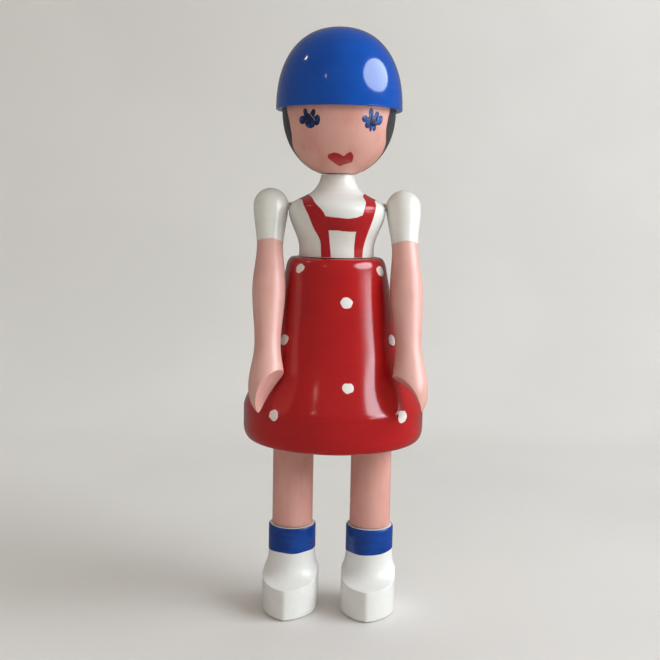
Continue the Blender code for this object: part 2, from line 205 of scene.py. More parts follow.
def on_turning(bearing: float, radius: float, height: float) -> Vector:
    """Point at a bearing in degrees, a radius and a height."""
    angle = math.radians(bearing)
    return Vector((radius * math.sin(angle), -radius * math.cos(angle), height))


def laid_on(outline: Outline, bearing: float, height: float) -> Vector:
    """Point of a turned piece at a bearing in degrees and a height."""
    return on_turning(bearing, radius_on(outline, height), height)


def posed(at: Sequence[float], *turns: tuple[float, str]) -> Matrix:
    """Frame at a place.

    Args:
        at: Where it starts.
        turns: Degrees and axis of each turn, in the frame's own axes.

    Returns:
        The frame.
    """
    frame = Matrix.Translation(at)
    for degrees, axis in turns:
        frame = frame @ Matrix.Rotation(math.radians(degrees), 4, axis)
    return frame


def along_spline(points: Sequence[Pair], share: float, closed: bool = False) -> Pair:
    """Point on a smooth line through given points.

    Args:
        points: Points that the line passes through.
        share: From 0 at the first point to 1 at the last, or round to it.
        closed: Whether the line joins up.

    Returns:
        The point.
    """
    count = len(points)
    spans = count if closed else count - 1
    place = min(max(share, 0.0), 1.0) * spans
    start = min(int(place), spans - 1)
    t = place - start

    def at(index: int) -> Vector:
        """A point by its number; past an open end the last one repeats."""
        return Vector(points[index % count if closed else min(max(index, 0), count - 1)])

    a, b, c, d = (at(start + i) for i in (-1, 0, 1, 2))
    found = 0.5 * (
        2.0 * b
        + (c - a) * t
        + (2.0 * a - 5.0 * b + 4.0 * c - d) * t**2
        + (3.0 * b - a - 3.0 * c + d) * t**3
    )
    return found.x, found.y


def wobble(seed: int, depth: float) -> Callable[[float], float]:
    """Slow unevenness of a hand-painted edge.

    Args:
        seed: Picks the edge.
        depth: Most that it strays, in millimetres.

    Returns:
        A function of a turn from 0 to 1 that joins up with itself.
    """
    draw = random.Random(seed)
    waves = [(n, draw.uniform(0.3, 1.0) / n**0.7, draw.uniform(0.0, TAU)) for n in range(1, 8)]
    total = sum(size for _, size, _ in waves)

    def stray(share: float) -> float:
        """How far the edge strays at a turn."""
        return depth * sum(s * math.sin(TAU * n * share + p) for n, s, p in waves) / total

    return stray


def dab(
    outline: Outline, mark: Mark, stray: Callable[[float], float] | None = None
) -> Callable[[Pair], Vector]:
    """Oval touch of the brush on a turned piece.

    Args:
        outline: Outer side of the piece.
        mark: Bearing, height, half width, half length and lean in degrees.
        stray: Unevenness of its rim, as a share of its size.

    Returns:
        The place for a share of the rim and a turn from 0 to 1.
    """
    bearing, height, half_width, half_length, lean = mark
    radius = radius_on(outline, height)
    angle = math.radians(lean)

    def place(polar: Pair) -> Vector:
        """Place for a share of the rim and a turn."""
        share, turn = polar
        grow = share * (1.0 + stray(turn)) if stray else share
        across = grow * half_width * math.cos(TAU * turn)
        up = grow * half_length * math.sin(TAU * turn)
        x = across * math.cos(angle) + up * math.sin(angle)
        y = up * math.cos(angle) - across * math.sin(angle)
        return laid_on(outline, bearing + math.degrees(x / radius), height + y)

    return place


def srgb(red: int, green: int, blue: int) -> Colour:
    """Linear colour from 8-bit screen values.

    Args:
        red: Level from 0 to 255.
        green: The same.
        blue: The same.

    Returns:
        The colour, opaque.
    """

    def linear(level: int) -> float:
        """One channel."""
        share = level / 255.0
        return share / 12.92 if share <= 0.04045 else ((share + 0.055) / 1.055) ** 2.4

    return (linear(red), linear(green), linear(blue), 1.0)


# Shading


class Level:
    """A number on a surface, for use in ordinary arithmetic."""

    def __init__(self, recipe: Recipe, socket: Socket) -> None:
        """Wrap a socket of a recipe's tree."""
        self.recipe = recipe
        self.socket = socket

    def _math(self, operation: str, *terms: Level | float) -> Level:
        """Add a Math node.

        Args:
            operation: Blender's name of the operation.
            terms: Its operands in order.

        Returns:
            The result.
        """
        made = self.recipe.node(
            "ShaderNodeMath", {"operation": operation}, dict(enumerate(terms))
        )
        return Level(self.recipe, made.outputs[0])

    def __add__(self, other: Level | float) -> Level:
        """Sum."""
        return self._math("ADD", self, other)

    __radd__ = __add__

    def __sub__(self, other: Level | float) -> Level:
        """Difference."""
        return self._math("SUBTRACT", self, other)

    def __rsub__(self, other: Level | float) -> Level:
        """Difference from a number."""
        return self._math("SUBTRACT", other, self)

    def __mul__(self, other: Level | float) -> Level:
        """Product."""
        return self._math("MULTIPLY", self, other)

    __rmul__ = __mul__

    def __abs__(self) -> Level:
        """Size without sign."""
        return self._math("ABSOLUTE", self)

    def root(self) -> Level:
        """Square root."""
        return self._math("SQRT", self)

    def sine(self) -> Level:
        """Sine of an angle in radians."""
        return self._math("SINE", self)

    def bearing_with(self, other: Level) -> Level:
        """Angle of the point with this and another as its sides."""
        return self._math("ARCTAN2", self, other)

    def most(self, other: Level | float) -> Level:
        """The larger of two."""
        return self._math("MAXIMUM", self, other)

    def between(self, low: float, high: float) -> Level:
        """Smooth rise from 0 at one value to 1 at another.

        Args:
            low: Where it is 0.
            high: Where it is 1; it may be the smaller of the two.

        Returns:
            The eased share.
        """
        ends = (low, high, 0.0, 1.0) if low < high else (high, low, 1.0, 0.0)
        made = self.recipe.node(
            "ShaderNodeMapRange",
            {"interpolation_type": "SMOOTHSTEP"},
            {"Value": self, **dict(zip(("From Min", "From Max", "To Min", "To Max"), ends))},
        )
        return Level(self.recipe, made.outputs[0])


@dataclass(frozen=True)
class Lie:
    """Where a piece's own axis starts and how it leans, so a pattern follows it."""

    at: Triple = (0.0, 0.0, 0.0)
    turn: Triple = (0.0, 0.0, 0.0)


UPRIGHT = Lie()


class Recipe:
    """One material and the only maker of its nodes."""

    def __init__(self, name: str, lie: Lie = UPRIGHT) -> None:
        """Start a material whose patterns follow a lie.

        Args:
            name: Name of the material.
            lie: How the piece's grain runs.
        """
        self.lie = lie
        self.material = bpy.data.materials.new(name)
        self.material.use_nodes = True
        self.tree = self.material.node_tree
        self.shader = self.tree.nodes["Principled BSDF"]
        self.place = self.node("ShaderNodeTexCoord").outputs["Object"]

    def node(
        self,
        kind: str,
        settings: dict[str, object] | None = None,
        values: dict[str | int, object] | None = None,
    ) -> bpy.types.Node:
        """Add a node.

        Args:
            kind: Blender's type name.
            settings: Its properties, set first.
            values: Numbers, colours or links for its sockets.

        Returns:
            The node.
        """
        made = self.tree.nodes.new(kind)
        for key, value in (settings or {}).items():
            setattr(made, key, value)
        for key, value in (values or {}).items():
            self.feed(made.inputs[key], value)
        return made

    def feed(self, socket: Socket, value: object) -> None:
        """Link or set one socket.

        Args:
            socket: Input of a node.
            value: A level, an output or a plain value.
        """
        source = value.socket if isinstance(value, Level) else value
        if isinstance(source, Socket):
            self.tree.links.new(source, socket)
        else:
            socket.default_value = source

    def pattern(self, size: Triple) -> Socket:
        """Place along the piece's own axes, in cells of a size in millimetres.

        Args:
            size: Cell along each axis.

        Returns:
            The place, as a vector.
        """
        made = self.node(
            "ShaderNodeMapping",
            {"vector_type": "TEXTURE"},
            {
                "Vector": self.place,
                "Location": tuple(c * MM for c in self.lie.at),
                "Rotation": self.lie.turn,
                "Scale": tuple(c * MM for c in size),
            },
        )
        return made.outputs[0]

    def noise(self, size: Triple, detail: float = 2.0, roughness: float = 0.5) -> Level:
        """Cloudy value about one half.

        Args:
            size: Cell in millimetres along the piece's own axes.
            detail: Finer layers.
            roughness: Weight of the finer layers.

        Returns:
            The value.
        """
        made = self.node(
            "ShaderNodeTexNoise",
            None,
            {
                "Vector": self.pattern(size),
                "Scale": 1.0,
                "Detail": detail,
                "Roughness": roughness,
            },
        )
        return Level(self, made.outputs[0])

    def axes(self) -> tuple[Level, Level, Level]:
        """Place in millimetres along the piece's own axes.

        Returns:
            X, Y and Z.
        """
        made = self.node(
            "ShaderNodeSeparateXYZ", None, {"Vector": self.pattern((1.0, 1.0, 1.0))}
        )
        return tuple(Level(self, socket) for socket in made.outputs)

    def tint(self, first: object, second: object, share: Level | float) -> Socket:
        """Mix two colours.

        Args:
            first: Colour or socket at share 0.
            second: Colour or socket at share 1.
            share: How much of the second.

        Returns:
            The mixed colour.
        """
        made = self.node(
            "ShaderNodeMix", {"data_type": "RGBA"}, {0: share, 6: first, 7: second}
        )
        return made.outputs[2]

    def pour(
        self,
        colour: object,
        roughness: Level | float,
        relief: Level | None = None,
        **others: Level | float,
    ) -> Material:
        """Feed the shader and give the finished material.

        Args:
            colour: Base colour.
            roughness: Roughness.
            relief: Height in millimetres for the bump.
            others: Values of other sockets, by name with underscores.

        Returns:
            The material.
        """
        self.feed(self.shader.inputs["Base Color"], colour)
        self.feed(self.shader.inputs["Roughness"], roughness)
        if relief is not None:
            bump = self.node(
                "ShaderNodeBump", None, {"Height": relief, "Distance": MM, "Strength": 1.0}
            )
            self.feed(self.shader.inputs["Normal"], bump.outputs[0])
        for name, value in others.items():
            self.feed(self.shader.inputs[name.replace("_", " ")], value)
        return self.material


PRIMER = srgb(206, 178, 140)


@dataclass(frozen=True)
class Rub:
    """A height near which a coat is flecked with its under colour, and how far the flecks reach.
    """

    level: float
    reach: float
    amount: float


@dataclass(frozen=True)
class Enamel:
    """Brushed gloss paint on turned or carved wood."""

    name: str
    colour: Colour
    shade: Colour
    under: Colour = PRIMER
    mottle: float = 0.5
    gloss: float = 0.16
    stroke: Triple = (30.0, 30.0, 0.9)
    ripple: float = 0.006
    peel: float = 0.0025
    rubs: tuple[Rub, ...] = ()
    varnish: float = 0.0
    refraction: float = 1.5
    coat_roughness: float = 0.07

    @property
    def undercoat_shine(self) -> float:
        """Specular level left to the paint under its varnish."""
        return 0.5 - 0.35 * self.varnish

    def coat(self, recipe: Recipe) -> tuple[Socket, Level, Level]:
        """Lay the paint's colour, roughness and relief.

        Args:
            recipe: The material in the making.

        Returns:
            Colour, roughness and height in millimetres.
        """
        cloud = recipe.noise((11.0, 11.0, 11.0), 3.0, 0.55)
        strokes = recipe.noise(self.stroke, 4.0, 0.6)
        skin = recipe.noise((1.3, 1.3, 1.3), 2.0)
        share = (cloud * 0.55 + strokes * 0.45).between(0.38, 0.66) * self.mottle
        colour = recipe.tint(self.colour, self.shade, share)
        roughness = self.gloss + (cloud - 0.5) * 0.10 + (strokes - 0.5) * 0.06
        if self.rubs:
            _, _, height = recipe.axes()
            speckle = recipe.noise((1.6, 1.6, 0.7), 4.0, 0.65).between(0.52, 0.6)
            for fleck_band in self.rubs:
                near = abs(height - fleck_band.level).between(fleck_band.reach, 0.25 * fleck_band.reach)
                flecked = near * speckle * fleck_band.amount
                colour = recipe.tint(colour, self.under, flecked)
                roughness = roughness + flecked * 0.3
        return colour, roughness, strokes * self.ripple + skin * self.peel

    def material(self, lie: Lie = UPRIGHT) -> Material:
        """The paint as a material of its own.

        Args:
            lie: How the piece's grain runs.

        Returns:
            The material.
        """
        recipe = Recipe(self.name, lie)
        return recipe.pour(
            *self.coat(recipe),
            IOR=self.refraction,
            Specular_IOR_Level=self.undercoat_shine,
            Coat_Weight=self.varnish,
            Coat_Roughness=self.coat_roughness,
        )


@dataclass(frozen=True)
class FleshCoat:
    """Satin flesh paint, thin enough for the wood's pores to show along the grain."""

    name: str
    colour: Colour
    shade: Colour
    pore: Colour
    pores: float = 0.5
    gloss: float = 0.36

    def material(self, lie: Lie = UPRIGHT) -> Material:
        """The paint on a piece whose grain runs along its own axis.

        Args:
            lie: How the piece's grain runs.

        Returns:
            The material.
        """
        recipe = Recipe(self.name, lie)
        cloud = recipe.noise((9.0, 9.0, 16.0), 3.0)
        grain = recipe.noise((0.9, 0.9, 26.0), 3.0, 0.55)
        fleck = recipe.noise((0.34, 0.34, 5.0), 2.0, 0.6)
        patch = recipe.noise((5.0, 5.0, 14.0), 1.0).between(0.5, 0.64)
        strokes = recipe.noise((22.0, 22.0, 1.1), 3.0, 0.6)
        share = (cloud * 0.8 + grain * 0.2).between(0.4, 0.68)
        colour = recipe.tint(self.colour, self.shade, share)
        dark = fleck.between(0.6, 0.72) * patch * self.pores
        colour = recipe.tint(colour, self.pore, dark)
        roughness = self.gloss + (cloud - 0.5) * 0.12 + dark * 0.25
        relief = grain * 0.003 + strokes * 0.002 - dark * 0.015
        return recipe.pour(colour, roughness, relief, IOR=1.48)


@dataclass(frozen=True)
class BareWood:
    """Turned beech with its short flecks."""

    name: str
    colour: Colour
    late: Colour
    fleck: Colour

    def coat(self, recipe: Recipe) -> tuple[Socket, Level, Level]:
        """Lay the wood's colour, roughness and relief.

        Args:
            recipe: The material in the making.

        Returns:
            Colour, roughness and height in millimetres.
        """
        rings = recipe.noise((1.8, 7.0, 60.0), 3.0, 0.6)
        fleck = recipe.noise((0.35, 0.35, 2.6), 2.0, 0.6).between(0.6, 0.7)
        lathe = recipe.noise((30.0, 30.0, 0.35), 2.0)
        colour = recipe.tint(self.colour, self.late, rings.between(0.38, 0.62))
        colour = recipe.tint(colour, self.fleck, fleck * 0.6)
        roughness = 0.55 + (rings - 0.5) * 0.2
        return colour, roughness, lathe * 0.015 + rings * 0.02 - fleck * 0.03

    def material(self, lie: Lie = UPRIGHT) -> Material:
        """The wood as a material of its own."""
        recipe = Recipe(self.name, lie)
        return recipe.pour(*self.coat(recipe))


@dataclass(frozen=True)
class PinSteel:
    """Drawn steel rod along X."""

    name: str = "drawn_steel"

    def material(self) -> Material:
        """Bright metal with fine draw lines.

        Returns:
            The material.
        """
        recipe = Recipe(self.name)
        lines = recipe.noise((14.0, 0.12, 0.12), 2.0)
        stain = recipe.noise((4.0, 1.5, 1.5), 3.0)
        colour = recipe.tint(srgb(196, 196, 192), srgb(138, 130, 120), stain.between(0.45, 0.75))
        return recipe.pour(colour, 0.24 + lines * 0.2, lines * 0.004, Metallic=1.0)


@dataclass(frozen=True)
class BraidedElastic:
    """Cotton braid over rubber, along X through the shoulders."""

    name: str = "cotton_braid"
    pitch: float = 2.6
    axis_height: float = 148.0

    def material(self) -> Material:
        """Two sets of yarns that wind both ways round the cord.

        Returns:
            The material.
        """
        recipe = Recipe(self.name, Lie((0.0, 0.0, self.axis_height)))
        x, y, z = recipe.axes()
        turn = y.bearing_with(z) * 4.0
        run = x * (TAU / self.pitch)
        yarns = (turn + run).sine().most((turn - run).sine())
        fuzz = recipe.noise((0.3, 0.3, 0.3), 2.0)
        share = (yarns * 0.4 + fuzz * 0.6).between(0.1, 0.7)
        colour = recipe.tint(srgb(150, 138, 114), srgb(214, 204, 180), share)
        return recipe.pour(colour, 0.85, yarns * 0.12 + fuzz * 0.05)


BEECH = BareWood("beech", srgb(208, 170, 122), srgb(186, 142, 96), srgb(140, 96, 60))
CAP_BLUE = Enamel("cap_blue_enamel", srgb(4, 78, 172), srgb(2, 62, 150), varnish=1.0)
SKIRT_RED = Enamel(
    "skirt_red_enamel",
    srgb(180, 20, 22),
    srgb(158, 12, 20),
    srgb(196, 120, 96),
    rubs=(Rub(65.0, 0.5, 0.3),),
    varnish=1.0,
)
STRAP_RED = Enamel(
    "strap_red_enamel",
    srgb(178, 24, 28),
    srgb(150, 16, 24),
    gloss=0.22,
    stroke=(1.0, 1.0, 9.0),
    ripple=0.012,
)
IVORY_WHITE = Enamel(
    "ivory_enamel",
    srgb(231, 229, 222),
    srgb(222, 218, 208),
    srgb(190, 168, 132),
    gloss=0.2,
    ripple=0.003,
    # Darker flecks of the under colour along the waist and neck edges, next to the joints.
    rubs=(Rub(130.5, 0.5, 0.4), Rub(159.0, 0.4, 0.3)),
)
SHOE_WHITE = Enamel(
    "shoe_white_enamel",
    srgb(236, 234, 229),
    srgb(228, 224, 215),
    srgb(168, 140, 104),
    gloss=0.33,
    stroke=(2.0, 9.0, 2.0),
    ripple=0.01,
    rubs=(Rub(0.3, 0.7, 0.7),),
)
SLEEVE_WHITE = Enamel(
    "sleeve_ivory_enamel", srgb(230, 228, 220), srgb(221, 216, 203), gloss=0.2
)
SOCK_BLUE = Enamel(
    "sock_blue_enamel",
    srgb(14, 68, 152),
    srgb(8, 46, 116),
    mottle=0.8,
    gloss=0.24,
    stroke=(9.0, 9.0, 0.7),
    ripple=0.009,
)
HAIR_BLACK = Enamel(
    "hair_black_enamel",
    srgb(62, 61, 62),
    srgb(48, 47, 48),
    gloss=0.34,
    stroke=(1.2, 1.2, 16.0),
    ripple=0.02,
)
LIP_RED = Enamel(
    "lip_red_enamel",
    srgb(172, 26, 32),
    srgb(144, 16, 24),
    gloss=0.3,
    stroke=(0.6, 0.6, 2.4),
    ripple=0.015,
)
EYE_NAVY = Enamel(
    "eye_navy_enamel",
    srgb(18, 34, 82),
    srgb(12, 18, 48),
    mottle=0.9,
    gloss=0.3,
    stroke=(0.6, 0.6, 1.6),
    ripple=0.012,
)
# Blue of the left eye's petals; the same blue paints the sheen on the right eye.
EYE_BLUE = replace(
    EYE_NAVY, name="eye_blue_enamel", colour=srgb(30, 74, 146), shade=srgb(20, 40, 96)
)
# Pale blue of the painted highlights round the left eye.
EYE_PAINTED_HIGHLIGHT = Enamel("eye_pale_enamel", srgb(98, 142, 194), srgb(72, 114, 174), gloss=0.3)
PUPIL_MAROON = Enamel("pupil_maroon_enamel", srgb(78, 26, 44), srgb(60, 18, 36), gloss=0.3)
GLINT_GREY = Enamel("glint_grey_enamel", srgb(178, 182, 190), srgb(150, 152, 164), gloss=0.3)
DOT_WHITE = Enamel(
    "dot_white_enamel",
    srgb(238, 232, 225),
    srgb(226, 216, 205),
    gloss=0.26,
    stroke=(1.2, 1.2, 1.2),
    ripple=0.012,
)
FACE_FLESH = FleshCoat(
    "face_flesh_enamel", srgb(224, 166, 152), srgb(215, 151, 135), srgb(160, 104, 84), 0.12, 0.3
)
ARM_FLESH = FleshCoat(
    "arm_flesh_enamel", srgb(226, 172, 160), srgb(217, 158, 145), srgb(156, 100, 80), 0.3, 0.31
)
LEG_FLESH = FleshCoat(
    "leg_flesh_enamel", srgb(222, 164, 151), srgb(214, 150, 136), srgb(160, 104, 84), 0.06, 0.3
)


# Modelling


class Bench:
    """Moves that the pieces share; outlines are in millimetres, meshes in metres."""

    @staticmethod
    def clear() -> None:
        """Leave edit mode and deselect everything."""
        if bpy.context.mode != "OBJECT":
            bpy.ops.object.mode_set(mode="OBJECT")
        bpy.ops.object.select_all(action="DESELECT")

    @classmethod
    def take(cls, piece: Piece) -> None:
        """Select one piece alone and make it active."""
        cls.clear()
        piece.select_set(True)
        bpy.context.view_layer.objects.active = piece

    @classmethod
    def open(cls, name: str) -> Piece:
        """Name the new primitive and enter its mesh with every vertex selected.

        Args:
            name: Name of the piece.

        Returns:
            The piece.
        """
        piece = bpy.context.object
        piece.name = piece.data.name = name
        bpy.ops.object.mode_set(mode="EDIT")
        bpy.context.tool_settings.mesh_select_mode = (True, False, False)
        bpy.ops.mesh.select_all(action="SELECT")
        return piece

    @classmethod
    def turn(cls, name: str, outline: Outline, steps: int) -> Piece:
        """Turn a solid about Z.

        Args:
            name: Name of the piece.
            outline: Radius and height pairs from axis to axis.
            steps: Spans round the axis.

        Returns:
            The closed solid.
        """
        cls.clear()
        bpy.ops.mesh.primitive_plane_add(size=MM)
        piece = cls.open(name)
        bpy.ops.mesh.merge(type="CENTER")
        radius, height = outline[0]
        bpy.ops.transform.translate(value=(radius * MM, 0.0, height * MM))
        for (r0, z0), (r1, z1) in zip(outline, outline[1:]):
            step = ((r1 - r0) * MM, 0.0, (z1 - z0) * MM)
            bpy.ops.mesh.extrude_region_move(TRANSFORM_OT_translate={"value": step})
        bpy.ops.mesh.select_all(action="SELECT")
        bpy.ops.mesh.spin(steps=steps, angle=TAU, center=(0.0, 0.0, 0.0), axis=(0.0, 0.0, 1.0))
        cls.weld()
        bpy.ops.mesh.normals_make_consistent(inside=False)
        cls.clear()
        return piece

    @staticmethod
    def weld() -> None:
        """Merge what meets, in edit mode."""
        bpy.ops.mesh.select_all(action="SELECT")
        bpy.ops.mesh.remove_doubles(threshold=WELD)

    @classmethod
    def skin(
        cls, name: str, across: int, along: int, spot: Spot, capped: bool = False
    ) -> Piece:
        """Drape a grid over a shape; its outer face looks away from the shape.

        Args:
            name: Name of the piece.
            across: Spans round the shape, towards the figure's left in front.
            along: Spans upwards.
            spot: Gives the place in millimetres for two shares from 0 to 1.
            capped: Whether to close open ends.

        Returns:
            The sheet, welded where its edges meet.
        """
        cls.clear()
        bpy.ops.mesh.primitive_grid_add(x_subdivisions=across, y_subdivisions=along, size=1.0)
        piece = bpy.context.object
        for vertex in piece.data.vertices:
            vertex.co = spot(vertex.co.x + 0.5, vertex.co.y + 0.5) * MM
        cls.open(name)
        cls.weld()
        if capped:
            bpy.ops.mesh.fill_holes(sides=0)
            bpy.ops.mesh.normals_make_consistent(inside=False)
        cls.clear()
        return piece

    @classmethod
    def disc(cls, name: str, count: int, place: Callable[[Pair], Vector]) -> Piece:
        """A round patch of rings about a centre, laid over a surface.

        Args:
            name: Name of the piece.
            count: Points on the rim.
            place: Gives the place in millimetres for a ring's share of the rim
                and a turn from 0 to 1.

        Returns:
            The patch, with its thickness weights in a vertex group.
        """
        cls.clear()
        bpy.ops.mesh.primitive_circle_add(vertices=count, radius=1.0, fill_type="NGON")
        piece = cls.open(name)
        for width in DISC_RINGS:
            bpy.ops.mesh.inset(thickness=width)
        bpy.ops.mesh.poke()
        cls.clear()
        crown = piece.vertex_groups.new(name="crown")
        for vertex in piece.data.vertices:
            share = min(vertex.co.length, 1.0)
            turn = (math.atan2(vertex.co.y, vertex.co.x) / TAU) % 1.0
            crown.add([vertex.index], 1.0 - share**3, "REPLACE")
            vertex.co = place((share, turn)) * MM
        return piece

    @classmethod
    def apply(cls, piece: Piece, kind: str, **settings: object) -> None:
        """Add a modifier and apply it.

        Args:
            piece: What it works on.
            kind: Blender's type name.
            settings: Its properties.
        """
        cls.take(piece)
        step = piece.modifiers.new(kind.title(), kind)
        for key, value in settings.items():
            setattr(step, key, value)
        bpy.ops.object.modifier_apply(modifier=step.name)

    @classmethod
    def cylinder(
        cls, radius: float, depth: float, frame: Matrix, count: int = 96
    ) -> Piece:
        """A cutter about its own Z, placed by a matrix in millimetres.

        Args:
            radius: In millimetres.
            depth: Whole length in millimetres.
            frame: Where its middle lies and how it leans.
            count: Number of sides.

        Returns:
            The cutter.
        """
        cls.clear()
        bpy.ops.mesh.primitive_cylinder_add(vertices=count, radius=radius * MM, depth=depth * MM)
        tool = bpy.context.object
        cls.settle(tool, frame)
        return tool

    @classmethod
    def carve(
        cls, piece: Piece, tool: Piece, operation: str = "DIFFERENCE"
    ) -> None:
        """Cut a piece with a tool's shape and put the tool away."""
        cls.apply(piece, "BOOLEAN", operation=operation, object=tool, solver="EXACT")
        bpy.data.objects.remove(tool)

    @classmethod
    def sand(cls, piece: Piece, voxel: float, passes: int) -> None:
        """Rebuild a carved solid as one even skin and ease its edges.

        Args:
            piece: The solid.
            voxel: Cell size in millimetres.
            passes: Rounds of smoothing.
        """
        cls.take(piece)
        piece.data.remesh_voxel_size = voxel * MM
        piece.data.remesh_voxel_adaptivity = 0.0
        bpy.ops.object.voxel_remesh()
        cls.apply(piece, "SMOOTH", factor=0.5, iterations=passes)

    @classmethod
    def ease(
        cls, piece: Piece, passes: int, weight: Callable[[Vector], float]
    ) -> None:
        """Round the edges of a part of a piece.

        Args:
            piece: The solid.
            passes: Rounds of smoothing.
            weight: Share of the smoothing at a place in millimetres.
        """
        group = piece.vertex_groups.new(name="ease")
        for vertex in piece.data.vertices:
            group.add([vertex.index], weight(vertex.co / MM), "REPLACE")
        cls.apply(piece, "SMOOTH", factor=0.5, iterations=passes, vertex_group=group.name)

    @classmethod
    def waver(cls, piece: Piece, size: float, depth: float) -> None:
        """Give a turned surface the slow unevenness of hand work.

        Args:
            piece: The solid.
            size: Width of the waves in millimetres.
            depth: Their height in millimetres.
        """
        clouds = bpy.data.textures.new(f"{piece.name}_waver", "CLOUDS")
        clouds.noise_scale = size * MM
        clouds.noise_depth = 0
        cls.apply(
            piece,
            "DISPLACE",
            texture=clouds,
            texture_coords="LOCAL",
            strength=depth * MM,
            mid_level=0.5,
        )
        bpy.data.textures.remove(clouds)

    @classmethod
    def settle(cls, piece: Piece, frame: Matrix) -> None:
        """Move a piece by a matrix in millimetres, and put its place in its mesh.

        Args:
            piece: What is moved.
            frame: Where its own axes go.
        """
        cls.take(piece)
        frame = frame.copy()
        frame.translation *= MM
        piece.matrix_world = frame
        bpy.ops.object.transform_apply(location=True, rotation=True, scale=True)

    @classmethod
    def film(
        cls,
        paint: Piece,
        thickness: float,
        carrier: Piece | None = None,
        rim: float | None = None,
    ) -> None:
        """Give a painted patch its body.

        Args:
            paint: The open patch.
            thickness: Of the paint, in millimetres.
            carrier: What the patch is first drawn down on, if anything.
            rim: Share of the thickness at the rim of a domed dab.
        """
        if carrier is not None:
            cls.apply(
                paint, "SHRINKWRAP", target=carrier, wrap_method="NEAREST_SURFACEPOINT"
            )
        body = {"thickness": thickness * MM, "offset": 0.8, "use_rim": True}
        if rim is not None:
            body |= {"vertex_group": "crown", "thickness_vertex_group": rim}
        cls.apply(paint, "SOLIDIFY", **body)

    @classmethod
    def gather(cls, name: str, pieces: Sequence[Piece]) -> Piece:
        """Join pieces into the first and name it.

        Args:
            name: Name of the whole.
            pieces: What is joined.

        Returns:
            The whole.
        """
        cls.take(pieces[0])
        for other in pieces[1:]:
            other.select_set(True)
        bpy.ops.object.join()
        pieces[0].name = pieces[0].data.name = name
        return pieces[0]


def hand_over(
    piece: Piece,
    coat: Material,
    body: str,
    slot: Slot,
    *nodes: str,
) -> None:
    """Shade a finished piece, dress it and put it on its body.

    Args:
        piece: The finished mesh.
        coat: Its material.
        body: Body of the frame that it rides on.
        slot: Not used.
        nodes: CAD nodes that it replaces.
    """
    Bench.take(piece)
    bpy.ops.object.shade_smooth_by_angle(angle=EDGE_ANGLE)
    piece.data.materials.clear()
    piece.data.materials.append(coat)
    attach(piece, body)
    if nodes:
        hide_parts(*nodes)
    LOG.info("%s: %d faces on %s", piece.name, len(piece.data.polygons), body)


# Sub-assemblies


